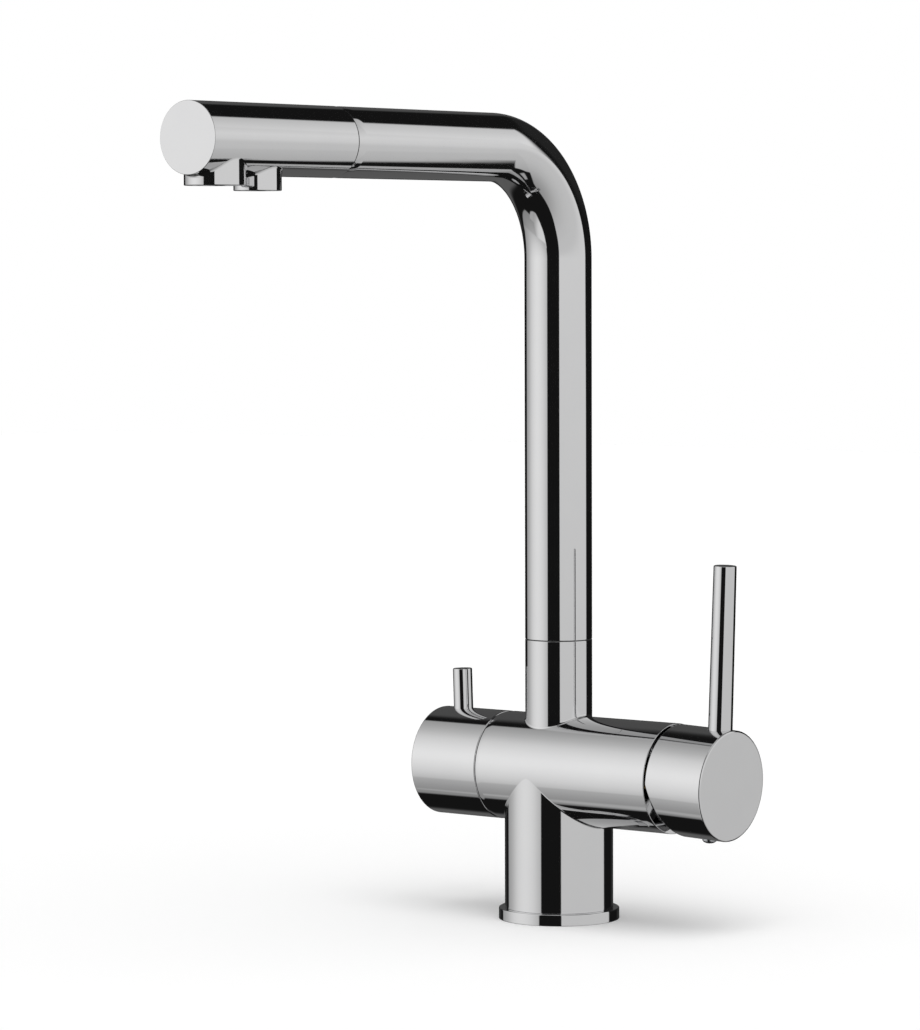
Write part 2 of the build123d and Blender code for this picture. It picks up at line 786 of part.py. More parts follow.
with BuildPart() as filter_spindle_clip:
    clip_thickness = clip_width - 0.1
    ring(barrel, LEFT, clip_x + 0.05, clip_x + 0.05 + clip_thickness, clip_inner + 0.05, clip_outer)
    with BuildSketch(square_to(barrel, LEFT, clip_x + 0.05)):
        with Locations((-5, 0)):
            Rectangle(6, clip_gap)
    extrude(amount=clip_thickness, mode=Mode.SUBTRACT)
write(filter_spindle_clip, "filter_spindle_clip")

filter_lean = radians(filter_lever_lean)
filter_lever_up = Vector(-sin(filter_lean), 0, cos(filter_lean))
filter_lever_foot = barrel + LEFT * filter_lever_at
filter_grub_line = barrel + LEFT * filter_grub_at

with BuildPart() as filter_handle_cap:
    turned(
        barrel, LEFT,
        (filter_cap_rim, cap_bore_r), (filter_cap_rim, barrel_r - edge / 2),
        (filter_cap_rim + edge / 2, barrel_r), (filter_cap_face - cap_edge, barrel_r),
        (filter_cap_face, barrel_r - cap_edge), (filter_cap_face, 0),
        (filter_cap_bore_end, 0), (filter_cap_bore_end, cap_bore_r),
    )
    socket_side = filter_square + socket_play
    bar(
        barrel, LEFT, filter_cap_bore_end, filter_cap_bore_end + socket_depth, socket_side, socket_side,
        mode=Mode.SUBTRACT,
    )
    drill(filter_lever_foot, filter_lever_up, filter_stud_end - 0.2, barrel_r, filter_stud_r + 0.1)
    drill(filter_lever_foot, filter_lever_up, filter_lever_seat, barrel_r + 1, filter_lever_r + 0.05)
    drill(filter_grub_line, DOWN, filter_grub_near - 0.05, barrel_r + 1, filter_grub_r + 0.05)
write(filter_handle_cap, "filter_handle_cap")

with BuildPart() as filter_lever_rod:
    turned(
        filter_lever_foot, filter_lever_up,
        (filter_stud_end, 0), (filter_stud_end, filter_stud_r), (filter_lever_seat, filter_stud_r),
        (filter_lever_seat, filter_lever_r), (filter_lever_top - cap_edge, filter_lever_r),
        (filter_lever_top, filter_lever_r - cap_edge), (filter_lever_top, 0),
    )
write(filter_lever_rod, "filter_lever_rod")

with BuildPart() as filter_grub_screw:
    rod(filter_grub_line, DOWN, filter_grub_near, filter_grub_far, filter_grub_r)
    hex_socket(filter_grub_line, DOWN, filter_grub_socket_start, filter_grub_far, filter_grub_socket)
write(filter_grub_screw, "filter_grub_screw")


# --- Swivel -------------------------------------------------------------------------------------

with BuildPart() as swivel_stop_screw:
    stop_line = Vector(0, 0, stop_z)
    turned(
        stop_line, BACK,
        (stop_tip_end, 0), (stop_tip_end, stop_tip_r), (stop_shoulder, stop_tip_r),
        (stop_shoulder, stop_r), (stop_head, stop_r), (stop_head, 0),
    )
    hex_socket(stop_line, BACK, stop_shoulder + 0.2, stop_head, stop_socket)
write(swivel_stop_screw, "swivel_stop_screw")

with BuildPart() as swivel_washer:
    ring(deck, UP, neck_top, neck_top + washer_thickness, neck_bore_r + 0.1, tube_r - edge / 2)
write(swivel_washer, "swivel_washer")

# the stop slot is as long as the swivel, plus the width of the screw's tip and a little play
slot_play = 1.5
slot_half_angle = swivel_limit + degrees(asin(stop_tip_r / spigot_r)) + slot_play
slot_start = radians(90 - slot_half_angle)
slot_side = Vector(sin(slot_start), -cos(slot_start), 0)

with BuildPart() as spout_spigot:
    turned(
        deck, UP,
        (spigot_bottom, spigot_bore_r), (spigot_bottom, spigot_r - cap_edge),
        (spigot_bottom + cap_edge, spigot_r), (tube_bottom, spigot_r), (tube_bottom, tube_r - tube_wall),
        (spigot_top, tube_r - tube_wall), (spigot_top, spigot_bore_r),
    )
    for bottom in slip_rings_z:
        ring(deck, UP, bottom, bottom + slip_ring_height, slip_groove_r, neck_bore_r, mode=Mode.SUBTRACT)
    with BuildSketch(Plane(origin=deck, x_dir=UP, z_dir=slot_side * -1)) as slot:
        with BuildLine():
            Polyline(
                (stop_z - stop_slot_half_height, stop_slot_r), (stop_z + stop_slot_half_height, stop_slot_r),
                (stop_z + stop_slot_half_height, neck_bore_r), (stop_z - stop_slot_half_height, neck_bore_r),
                close=True,
            )
        make_face()
    revolve(slot.sketch, axis=Axis.Z, revolution_arc=2 * slot_half_angle, mode=Mode.SUBTRACT)
write(spout_spigot, "spout_spigot")

with BuildPart() as spout_slip_rings:
    for bottom in slip_rings_z:
        ring(
            deck, UP, bottom + seal_play, bottom + slip_ring_height - seal_play,
            slip_groove_r, neck_bore_r - 0.08,
        )
write(spout_slip_rings, "spout_slip_rings")


# --- Spout --------------------------------------------------------------------------------------

def swept_tube(bottom_z, offset, end_y, outer, inner):
    """A tube that climbs the column, takes the bend and runs out along the arm."""
    with BuildLine(Plane.YZ) as path:
        FilletPolyline(
            (offset, bottom_z), (offset, arm_z + offset), (end_y, arm_z + offset), radius=bend_r + offset,
        )
    with BuildSketch(Plane.XY.offset(bottom_z)) as section:
        with Locations((0, offset)):
            Circle(outer)
            Circle(inner, mode=Mode.SUBTRACT)
    sweep(section.sketch, path=path.line)


with BuildPart() as spout_tube:
    swept_tube(tube_bottom, 0, arm_end, tube_r, tube_r - tube_wall)
    for end in (edges().group_by(Axis.Y)[0], edges().group_by(Axis.Z)[0]):
        chamfer(end.filter_by(GeomType.CIRCLE).sort_by(SortBy.RADIUS)[-1], edge / 2)
write(spout_tube, "spout_tube")

with BuildPart() as docking_collar:
    turned(
        arm, BACK,
        (arm_end + 0.3, collar_r + collar_lip), (arm_end + 0.3, tube_r - tube_wall),
        (collar_back, tube_r - tube_wall), (collar_back, collar_r), (arm_end + 0.8, collar_r),
    )
    # keyway that keeps the spray head upright
    with BuildSketch(Plane(origin=(0, arm_end, arm_z), x_dir=(1, 0, 0), z_dir=(0, 1, 0))):
        with Locations((0, -key_drop)):
            Rectangle(keyway_width, keyway_height)
    extrude(amount=keyway_length, mode=Mode.SUBTRACT)
write(docking_collar, "docking_collar")

with BuildPart() as mixed_hose:
    swept_tube(hose_bottom, mixed_hose_offset, hose_split_y, mixed_hose_r, mixed_hose_bore)
write(mixed_hose, "mixed_hose")

with BuildPart() as filtered_hose:
    swept_tube(hose_bottom, filtered_hose_offset, hose_split_y, filtered_hose_r, filtered_hose_bore)
write(filtered_hose, "filtered_hose")


def coupling(offset, sleeve_r, hexagon_r, hose_r, way):
    """A swaged sleeve on the hose's lower end, with a hexagon for the spanner."""
    foot = Vector(0, offset, 0)
    rod(foot, UP, coupling_shoulder, coupling_top, sleeve_r)
    with BuildSketch(Plane.XY.offset(coupling_bottom)) as hexagon:
        with Locations((0, offset)):
            RegularPolygon(hexagon_r, 6)
    extrude(hexagon.sketch, amount=coupling_shoulder - coupling_bottom)
    drill(foot, UP, hose_bottom, coupling_top, hose_r)
    drill(foot, UP, coupling_bottom, hose_bottom, way)


with BuildPart() as mixed_hose_coupling:
    coupling(mixed_hose_offset, 5.9, 6.35, mixed_hose_r, 3.0)
write(mixed_hose_coupling, "mixed_hose_coupling")

with BuildPart() as filtered_hose_coupling:
    coupling(filtered_hose_offset, 3.9, 4.4, filtered_hose_r, 1.6)
write(filtered_hose_coupling, "filtered_hose_coupling")


# --- Pull-out spray head ------------------------------------------------------------------------

mixed_line = arm + UP * mixed_hose_offset
filtered_line = arm + UP * filtered_hose_offset
mixed_outlet = Vector(0, mixed_outlet_y, 0)
filtered_outlet = Vector(0, filtered_outlet_y, 0)

with BuildPart() as handset_shell:
    turned(
        arm, BACK,
        (head_start, 0), (head_start, tube_r - edge / 2), (head_start - edge / 2, tube_r),
        (tip_y + outlet_edge, tube_r), (tip_y, tube_r - outlet_edge), (tip_y, 0),
    )
    for foot, radius, bottom in (
        (mixed_outlet, mixed_outlet_r, mixed_outlet_z),
        (filtered_outlet, filtered_outlet_r, filtered_outlet_z),
    ):
        turned(
            foot, UP,
            (bottom, 0), (bottom, radius - outlet_edge), (bottom + outlet_edge, radius),
            (arm_z, radius), (arm_z, 0),
        )
    fillet(edges().filter_by(GeomType.BSPLINE), outlet_corner_r)
    drill(arm, BACK, tip_y + tip_wall, head_start, shell_bore_r)
    drill(mixed_outlet, UP, mixed_outlet_z, arm_z, mixed_shell_bore)
    drill(filtered_outlet, UP, filtered_outlet_z, arm_z, filtered_shell_bore)
write(handset_shell, "handset_shell")

with BuildPart() as handset_tail:
    turned(
        arm, BACK,
        (tail_flange_end, 0), (tail_flange_end, tail_flange_r), (head_start, tail_flange_r),
        (head_start, tail_r), (tail_end - cap_edge, tail_r), (tail_end, tail_r - cap_edge), (tail_end, 0),
    )
    with BuildSketch(Plane(origin=(0, head_start, arm_z), x_dir=(1, 0, 0), z_dir=(0, 1, 0))):
        with Locations((0, -key_drop)):
            Rectangle(key_width, key_height)
    extrude(amount=key_length)
    drill(mixed_line, BACK, mixed_valve[1], tail_end, mixed_ferrule_r + 0.1)
    drill(mixed_line, BACK, *mixed_valve, mixed_valve_r + 0.05)
    drill(mixed_line, BACK, tail_flange_end, mixed_valve[0], mixed_way_r)
    drill(filtered_line, BACK, filtered_valve[1], tail_end, filtered_ferrule_r + 0.1)
    drill(filtered_line, BACK, *filtered_valve, filtered_valve_r + 0.05)
    drill(filtered_line, BACK, tail_flange_end, filtered_valve[0], filtered_way_r)
    ring(arm, BACK, *friction_groove, friction_groove_r, tail_flange_r, mode=Mode.SUBTRACT)
write(handset_tail, "handset_tail")

with BuildPart() as handset_tail_ring:
    ring(
        arm, BACK, friction_groove[0] + friction_play, friction_groove[1] - friction_play,
        friction_groove_r, collar_r - 0.04,
    )
write(handset_tail_ring, "handset_tail_ring")

with BuildPart() as handset_waterway:
    rod(arm, BACK, tip_y + waterway_tip_gap, tail_flange_end, tail_flange_r)
    drill(mixed_line, BACK, mixed_outlet_y - mixed_drop_r - 0.8, tail_flange_end, mixed_way_r)
    drill(filtered_line, BACK, filtered_outlet_y - filtered_drop_r - 0.7, tail_flange_end, filtered_way_r)
    drill(mixed_outlet, UP, outlet_roof_z, mixed_ring_top, mixed_shell_bore - 0.05)
    drill(mixed_outlet, UP, outlet_roof_z, mixed_pocket_top, mixed_pocket_r)
    drill(mixed_outlet, UP, mixed_pocket_top, arm_z + mixed_hose_offset, mixed_drop_r)
    drill(filtered_outlet, UP, outlet_roof_z, filtered_ring_top, filtered_shell_bore - 0.05)
    drill(filtered_outlet, UP, outlet_roof_z, filtered_pocket_top, filtered_pocket_r)
    drill(filtered_outlet, UP, filtered_pocket_top, arm_z + filtered_hose_offset, filtered_drop_r)
write(handset_waterway, "handset_waterway")


def check_valve(start, near, far, radius):
    """A non-return cartridge: a sleeve, a seat, and a mushroom poppet on a cross bar."""
    ring(start, BACK, near, far, radius * 0.72, radius)
    ring(start, BACK, far - 2, far, radius * 0.45, radius)
    rod(start, BACK, far - 3.5, far - 2.3, radius * 0.6)
    rod(start, BACK, near + 1, far - 3, radius * 0.2)
    with BuildSketch(Plane(origin=start + BACK * near, x_dir=(1, 0, 0), z_dir=(0, 1, 0))) as cross_bar:
        Rectangle(radius * 1.6, radius * 0.3)
    extrude(cross_bar.sketch, amount=1.5)


with BuildPart() as mixed_check_valve:
    check_valve(mixed_line, *mixed_valve, mixed_valve_r)
write(mixed_check_valve, "mixed_check_valve")

with BuildPart() as filtered_check_valve:
    check_valve(filtered_line, *filtered_valve, filtered_valve_r)
write(filtered_check_valve, "filtered_check_valve")

with BuildPart() as mixed_hose_ferrule:
    ring(mixed_line, BACK, mixed_valve[1], ferrule_back, mixed_way_r, mixed_ferrule_r)
    drill(mixed_line, BACK, mixed_ferrule_step, ferrule_back, mixed_hose_r)
write(mixed_hose_ferrule, "mixed_hose_ferrule")

with BuildPart() as filtered_hose_ferrule:
    ring(filtered_line, BACK, filtered_valve[1], ferrule_back, filtered_way_r - 0.1, filtered_ferrule_r)
    drill(filtered_line, BACK, filtered_ferrule_step, ferrule_back, filtered_hose_r)
write(filtered_hose_ferrule, "filtered_hose_ferrule")

with BuildPart() as mixed_hose_run:
    ring(mixed_line, BACK, mixed_ferrule_step, hose_split_y, mixed_hose_bore, mixed_hose_r)
write(mixed_hose_run, "mixed_hose_run")

with BuildPart() as filtered_hose_run:
    ring(filtered_line, BACK, filtered_ferrule_step, hose_split_y, filtered_hose_bore, filtered_hose_r)
write(filtered_hose_run, "filtered_hose_run")


def outlet_ring(foot, low, high, outer, step_high, step_outer, inner, seal_roof, insert_r):
    """A screwed ring with a stepped neck, which holds the outlet's insert from above."""
    turned(
        foot, UP,
        (low, insert_r), (low, outer), (high, outer), (high, step_outer), (step_high, step_outer),
        (step_high, inner), (seal_roof, inner), (seal_roof, insert_r),
    )


with BuildPart() as mixed_outlet_ring:
    outlet_ring(
        mixed_outlet, mixed_outlet_z + 0.3, mixed_ring_top, mixed_shell_bore - 0.1, mixed_pocket_top - 0.2,
        mixed_pocket_r - 0.05, 6.0, aerator_high + outlet_seal_height, aerator_r + 0.1,
    )
write(mixed_outlet_ring, "mixed_outlet_ring")

aerator_cells = [
    cell
    for cell in HexLocations(aerator_pitch, aerator_cells_across, aerator_cells_across).local_locations
    if hypot(cell.position.X, cell.position.Y) < aerator_field_r
]

with BuildPart() as mixed_aerator:
    rod(mixed_outlet, UP, aerator_low, aerator_high, aerator_r)
    with BuildSketch(Plane((0, mixed_outlet_y, aerator_low))):
        with Locations(*aerator_cells):
            RegularPolygon(aerator_cell_r, 6)
    extrude(amount=aerator_high - aerator_low, mode=Mode.SUBTRACT)
write(mixed_aerator, "mixed_aerator")

with BuildPart() as mixed_aerator_seal:
    ring(mixed_outlet, UP, aerator_high, aerator_high + outlet_seal_height, 6.5, aerator_r)
write(mixed_aerator_seal, "mixed_aerator_seal")

with BuildPart() as filtered_outlet_ring:
    outlet_ring(
        filtered_outlet, filtered_outlet_z + 0.3, filtered_ring_top, filtered_shell_bore - 0.1,
        filtered_pocket_top - 0.2, filtered_pocket_r - 0.05, 3.5, former_high + outlet_seal_height,
        former_r + 0.1,
    )
write(filtered_outlet_ring, "filtered_outlet_ring")

with BuildPart() as filtered_stream_former:
    rod(filtered_outlet, UP, former_low, former_high, former_r)
    with BuildSketch(Plane((0, filtered_outlet_y, former_low))):
        Circle(former_hole_r)
        for ring_r, holes in former_rings:
            with PolarLocations(ring_r, holes):
                Circle(former_hole_r)
    extrude(amount=former_high - former_low, mode=Mode.SUBTRACT)
write(filtered_stream_former, "filtered_stream_former")

with BuildPart() as filtered_former_seal:
    ring(filtered_outlet, UP, former_high, former_high + outlet_seal_height, 4.5, former_r)
write(filtered_former_seal, "filtered_former_seal")
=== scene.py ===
import bpy
import json
from math import atan2, ceil, cos, pi, radians, sin, sqrt, tan
from mathutils import Matrix, Vector
from mathutils.geometry import delaunay_2d_cdt


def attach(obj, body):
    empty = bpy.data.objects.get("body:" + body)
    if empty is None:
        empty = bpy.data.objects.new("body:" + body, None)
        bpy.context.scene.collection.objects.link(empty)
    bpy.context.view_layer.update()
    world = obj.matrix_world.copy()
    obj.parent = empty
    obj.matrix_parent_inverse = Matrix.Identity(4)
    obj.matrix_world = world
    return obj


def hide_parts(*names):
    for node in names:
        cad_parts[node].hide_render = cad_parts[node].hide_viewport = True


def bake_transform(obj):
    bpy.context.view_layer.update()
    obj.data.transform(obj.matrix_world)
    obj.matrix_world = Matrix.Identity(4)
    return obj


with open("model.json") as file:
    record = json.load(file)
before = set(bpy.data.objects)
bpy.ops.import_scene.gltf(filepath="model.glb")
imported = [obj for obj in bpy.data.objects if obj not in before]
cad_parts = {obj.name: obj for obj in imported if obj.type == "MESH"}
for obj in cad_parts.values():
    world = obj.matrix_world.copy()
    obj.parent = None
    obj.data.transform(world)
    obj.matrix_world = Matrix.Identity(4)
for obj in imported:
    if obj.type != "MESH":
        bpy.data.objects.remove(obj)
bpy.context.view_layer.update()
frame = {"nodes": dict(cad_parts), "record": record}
print("frame loaded:", len(frame["nodes"]), "nodes")

# Sizes are in millimetres from the middle of the base ring's underside, and turn to metres in makePiece
toMetres = 0.001
toRight = Vector((1, 0, 0))
toLeft = Vector((-1, 0, 0))
toBack = Vector((0, 1, 0))
toFront = Vector((0, -1, 0))
upward = Vector((0, 0, 1))
downward = Vector((0, 0, -1))
deckCentre = Vector((0, 0, 0))
barrelCentre = Vector((0, 0, 62.75))
armCentre = Vector((0, 0, 321.4))


def toLinear(hexColour):
    levels = [int(hexColour[place:place + 2], 16) / 255 for place in (1, 3, 5)]
    return [level / 12.92 if level <= 0.04045 else ((level + 0.055) / 1.055) ** 2.4 for level in levels] + [1]


def repeatsOf(millimetres):
    return 1000 / millimetres  # a texture's scale on metre coordinates


def addNode(tree, kind, inputs=None, **settings):
    node = tree.nodes.new("ShaderNode" + kind)
    for name, value in settings.items():
        setattr(node, name, value)
    for name, value in (inputs or {}).items():
        if isinstance(value, bpy.types.NodeSocket):
            tree.links.new(value, node.inputs[name])
        else:
            node.inputs[name].default_value = value
    return node.outputs


def startMaterial(name):
    material = bpy.data.materials.new(name)
    material.use_nodes = True
    material.node_tree.nodes.clear()
    return material, material.node_tree


# Camera, solved from the photograph: 4385 px of focal length on the 920 x 1030 frame
viewpoint = {
    "side": 37.067,        # degrees round from straight in front of the arm
    "distance": 1828.3,
    "height": 272.0,
    "turn": 1.2881,        # aimed a little to the left of the tap's middle
    "pitch": 3.2153,
    "roll": -0.1663,
    "lens": 153.26,        # for Blender's 36 mm on the photograph's long side
    "farthest": 100,       # metres that it sees
}


def placeCamera(v):
    camera = bpy.data.objects.new("camera", bpy.data.cameras.new("camera"))
    bpy.context.collection.objects.link(camera)
    camera.data.lens = v["lens"]
    camera.data.clip_end = v["farthest"]
    side = radians(v["side"])
    stand = Vector((v["distance"] * sin(side), -v["distance"] * cos(side), v["height"])) * toMetres
    camera.matrix_world = (
        Matrix.Translation(stand)
        @ Matrix.Rotation(side + radians(v["turn"]), 4, "Z")
        @ Matrix.Rotation(radians(90 - v["pitch"]), 4, "X")
        @ Matrix.Rotation(radians(v["roll"]), 4, "Z")
    )
    bpy.context.scene.camera = camera
    bpy.context.scene.view_settings.view_transform = "Standard"


placeCamera(viewpoint)
print("camera placed")


# Room: the camera sees a white backdrop, and matt surfaces get an even fill and one broad soft lamp.
# Metal sees a dark studio. Three lamps shine through large diffusers in it, and dim cards and walls stand
# between them. Their edges draw the lines in its polish.
studio = {
    "fill": "#cccccc",
    "lampPower": 1.5,
    "lampSpread": 60,      # degrees across, for a soft edge to the shadow
    "lampLean": (18, 24),
    "floorWidth": 8.0,     # metres
    "floor": "#ffffff",
    "backdrop": "#ffffff",
    "gaps": "#161616",     # the unlit room between the panels
    # Each lamp shines from one way through its diffusers. Its shares are (nearness, light): nearness is
    # 1 straight at the lamp, 0 square to it and -1 straight away from it.
    "lamps": {
        "leftLamp": {"towards": (-77, 12), "shares": [
            (0.2, 0.28), (0.5, 0.38), (0.64, 0.47), (0.74, 0.56), (0.81, 0.66), (0.87, 0.76), (0.94, 0.86),
            (0.985, 0.94), (0.998, 0.98),
        ]},
        "footLamp": {"towards": (-35, -25), "shares": [
            (0.6, 0.34), (0.7, 0.39), (0.78, 0.47), (0.81, 0.54), (0.866, 0.69), (0.896, 0.74), (0.93, 0.76),
        ]},
        "rightLamp": {"towards": (0, 90), "shares": [
            (-0.92, 0.42), (-0.8, 0.52), (-0.68, 0.62), (-0.6, 0.68), (-0.42, 0.76), (-0.25, 0.8),
            (-0.135, 0.81), (-0.09, 0.84), (-0.05, 0.89), (0.0, 0.94), (0.17, 1.0), (0.35, 0.9), (0.5, 0.8),
            (0.64, 0.68), (0.86, 0.47),
        ]},
    },
    # Each panel's corners are in degrees: round from the camera, positive to its right, and up from
    # level. "soft" is how wide its blurred edge is, in radians. A later panel stands before an earlier one.
    "panels": [
        {"name": "rearWall", "soft": 0.25, "light": "#5c5c5c",
         "corners": [(150, -10), (152, -52), (178, -56), (-164, -42), (-150, -10)]},
        {"name": "rearRight", "soft": 0.12, "light": "#252525",
         "corners": [(116, 6), (127, 30), (150, 34), (168, 28), (174, 4)]},
        {"name": "rearLeft", "soft": 0.16, "light": "#4f4f4f",
         "corners": [(170, 4), (170, 32), (-170, 44), (-150, 49), (-150, 4)]},
        {"name": "ceiling", "soft": 0.2, "light": "#c8c8c8",
         "corners": [(-110, 66), (-30, 56), (30, 56), (100, 64), (150, 78), (-150, 80)]},
        {"name": "lowCard", "soft": 0.03, "light": "#b4b4b4",
         "corners": [(135.5, -35), (137, -41), (144, -43), (142, -35)]},
        {"name": "lowStrip", "soft": 0.04, "light": "#a8a8a8",
         "corners": [(118, -49), (116, -60), (126, -61), (129, -49)]},
        {"name": "leftFoot", "soft": 0.05, "light": "#e8e8e8", "lamp": "leftLamp",
         "corners": [(-135, -15), (-128, -36), (-118, -48.5), (-75, -50), (-48, -43), (-41, -27),
                     (-39, -10)]},
        {"name": "leftToe", "soft": 0.05, "light": "#b0b0b0",
         "corners": [(-100, -44), (-97, -56), (-84, -61), (-66, -61), (-50, -47), (-52, -38)]},
        {"name": "leftSole", "soft": 0.05, "light": "#ffffff", "lamp": "footLamp",
         "corners": [(-80, -14), (-82, -45), (-84, -58), (-66, -60), (-50, -47), (-45, -40), (-40, -25),
                     (-38, -14)]},
        {"name": "leftDiffuser", "soft": 0.05, "light": "#fbfbfb", "lamp": "leftLamp",
         "corners": [(-138, -2), (-131, -20), (-41, -20), (-38, -6), (-37, 50), (-132, 60)]},
        {"name": "rightUpper", "soft": 0.05, "light": "#ececec", "lamp": "rightLamp",
         "corners": [(90, 0), (108, 4), (123, 32), (127, 44), (110, 60), (80, 60)]},
        {"name": "rightLower", "soft": 0.04, "light": "#dedede", "lamp": "rightLamp",
         "corners": [(90, 1), (110, -1), (115, -27), (112, -45), (90, -45)]},
        {"name": "rightTip", "soft": 0.03, "light": "#dedede", "lamp": "rightLamp",
         "corners": [(95, -24), (113, -24), (126.8, -38), (112, -46), (95, -44)]},
        {"name": "rightDiffuser", "soft": 0.04, "light": "#e4e4e4", "lamp": "rightLamp",
         "corners": [(3.5, 50), (3.8, -4), (7, -31), (13, -43), (24, -55), (50, -67), (80, -68), (95, -64),
                     (104, -49), (107.5, -10), (107.5, 8), (102, 58)]},
    ],
}


def wayTo(aside, up):
    side = radians(viewpoint["side"] + aside)
    return Vector((sin(side) * cos(radians(up)), -cos(side) * cos(radians(up)), sin(radians(up))))


def lampFade(tree, heading, lamp):
    nearness = addNode(
        tree, "VectorMath", {0: heading, 1: wayTo(*lamp["towards"])}, operation="DOT_PRODUCT",
    )["Value"]
    level = addNode(tree, "MapRange", {"Value": nearness, "From Min": -1.0})[0]
    fade = addNode(tree, "ValToRGB", {"Fac": level})[0]
    stops = fade.node.color_ramp.elements
    stops[0].color = [lamp["shares"][0][1]] * 3 + [1]
    stops[1].color = [lamp["shares"][-1][1]] * 3 + [1]
    for at, share in lamp["shares"]:
        stops.new((at + 1) / 2).color = (share, share, share, 1)
    return fade


def panelCover(tree, heading, panel):
    # 1 inside the panel and 0 outside: a softened step across each of its sides, multiplied together
    ways = [wayTo(*corner) for corner in panel["corners"]]
    middle = sum(ways, Vector((0, 0, 0)))
    cover = 1.0
    for here, after in zip(ways, ways[1:] + ways[:1]):
        inward = here.cross(after).normalized()
        if inward.dot(middle) < 0:
            inward.negate()
        depth = addNode(tree, "VectorMath", {0: heading, 1: inward}, operation="DOT_PRODUCT")["Value"]
        inside = addNode(
            tree, "MapRange",
            {"Value": depth, "From Min": -panel["soft"] / 2, "From Max": panel["soft"] / 2},
            interpolation_type="SMOOTHSTEP",
        )[0]
        cover = addNode(tree, "Math", {0: cover, 1: inside}, operation="MULTIPLY")[0]
    return cover


def buildStudio(s):
    world = bpy.data.worlds.new("studioRoom")
    bpy.context.scene.world = world
    world.use_nodes = True
    tree = world.node_tree
    tree.nodes.clear()
    heading = addNode(tree, "TexCoord")["Generated"]
    shone = {name: lampFade(tree, heading, lamp) for name, lamp in s["lamps"].items()}
    seen = toLinear(s["gaps"])
    for panel in s["panels"]:
        cover = panelCover(tree, heading, panel)
        light = toLinear(panel["light"])
        if "lamp" in panel:
            light = addNode(
                tree, "MixRGB", {"Fac": 1.0, "Color1": shone[panel["lamp"]], "Color2": light},
                blend_type="MULTIPLY",
            )[0]
        seen = addNode(tree, "MixRGB", {"Fac": cover, "Color1": seen, "Color2": light})[0]
    path = addNode(tree, "LightPath")
    mirrored = addNode(
        tree, "Math", {0: path["Is Glossy Ray"], 1: path["Is Transmission Ray"]}, operation="MAXIMUM",
    )[0]
    fill = addNode(tree, "Background", {"Color": toLinear(s["fill"])})[0]
    reflected = addNode(tree, "Background", {"Color": seen})[0]
    backdrop = addNode(tree, "Background", {"Color": toLinear(s["backdrop"])})[0]
    indoors = addNode(tree, "MixShader", {0: mirrored, 1: fill, 2: reflected})[0]
    surface = addNode(tree, "MixShader", {0: path["Is Camera Ray"], 1: indoors, 2: backdrop})[0]
    addNode(tree, "OutputWorld", {"Surface": surface})


def hangLamp(s):
    lamp = bpy.data.lights.new("softLamp", "SUN")
    lamp.energy = s["lampPower"]
    lamp.angle = radians(s["lampSpread"])
    lampHolder = bpy.data.objects.new("softLamp", lamp)
    lampHolder.rotation_euler = [radians(lean) for lean in s["lampLean"]] + [0]
    lampHolder.visible_glossy = False
    bpy.context.collection.objects.link(lampHolder)


def layFloor(s):
    # matt white paper, kept out of the metal's view so that its polish shows the panels down to the deck
    paper, tree = startMaterial("whitePaper")
    shader = addNode(
        tree, "BsdfPrincipled",
        {"Base Color": toLinear(s["floor"]), "Roughness": 1.0, "Specular IOR Level": 0.0},
    )[0]
    addNode(tree, "OutputMaterial", {"Surface": shader})
    half = s["floorWidth"] / 2
    sheetMesh = bpy.data.meshes.new("floor")
    corners = [(-half, -half, 0), (half, -half, 0), (half, half, 0), (-half, half, 0)]
    sheetMesh.from_pydata(corners, [], [(0, 1, 2, 3)])
    sheetMesh.materials.append(paper)
    floor = bpy.data.objects.new("floor", sheetMesh)
    floor.visible_glossy = False
    bpy.context.collection.objects.link(floor)


buildStudio(studio)
hangLamp(studio)
layFloor(studio)
print("room built")


def endMaterial(material, surface, height, depth, strength=1.0):
    # the shader's own settings, over a relief that is so many millimetres deep
    tree = material.node_tree
    relief = addNode(tree, "Bump", {"Height": height, "Strength": strength, "Distance": depth * toMetres})[0]
    shader = addNode(tree, "BsdfPrincipled", {**surface, "Normal": relief})[0]
    addNode(tree, "OutputMaterial", {"Surface": shader})
    return material


# Chrome over polished brass: a deep neutral mirror, a little darker than silver. Buffing leaves its gloss a
# little uneven over a centimetre or two, and its surface very slightly wavy.
chromeValues = {
    "bright": "#e8e8e8", "dull": "#e4e4e5", "tone": 14.0,
    "glossBest": 0.03, "glossWorst": 0.055, "glossPatch": 9.0, "patchEdges": (0.3, 0.7),
    "waves": 11.0, "waveHeight": 0.0012,
}


def chromePlate(c):
    material, tree = startMaterial("chromePlate")
    place = addNode(tree, "TexCoord")["Object"]
    patches = addNode(
        tree, "TexNoise", {"Vector": place, "Scale": repeatsOf(c["tone"]), "Detail": 3.0},
    )["Fac"]
    colour = addNode(
        tree, "MixRGB", {"Fac": patches, "Color1": toLinear(c["bright"]), "Color2": toLinear(c["dull"])},
    )[0]
    buffing = addNode(
        tree, "TexNoise", {"Vector": place, "Scale": repeatsOf(c["glossPatch"]), "Detail": 4.0},
    )["Fac"]
    gloss = addNode(
        tree, "MapRange",
        {"Value": buffing, "From Min": c["patchEdges"][0], "From Max": c["patchEdges"][1],
         "To Min": c["glossBest"], "To Max": c["glossWorst"]},
    )[0]
    swell = addNode(tree, "TexNoise", {"Vector": place, "Scale": repeatsOf(c["waves"]), "Detail": 0.0})["Fac"]
    return endMaterial(
        material, {"Base Color": colour, "Metallic": 1.0, "Roughness": gloss}, swell, c["waveHeight"],
    )


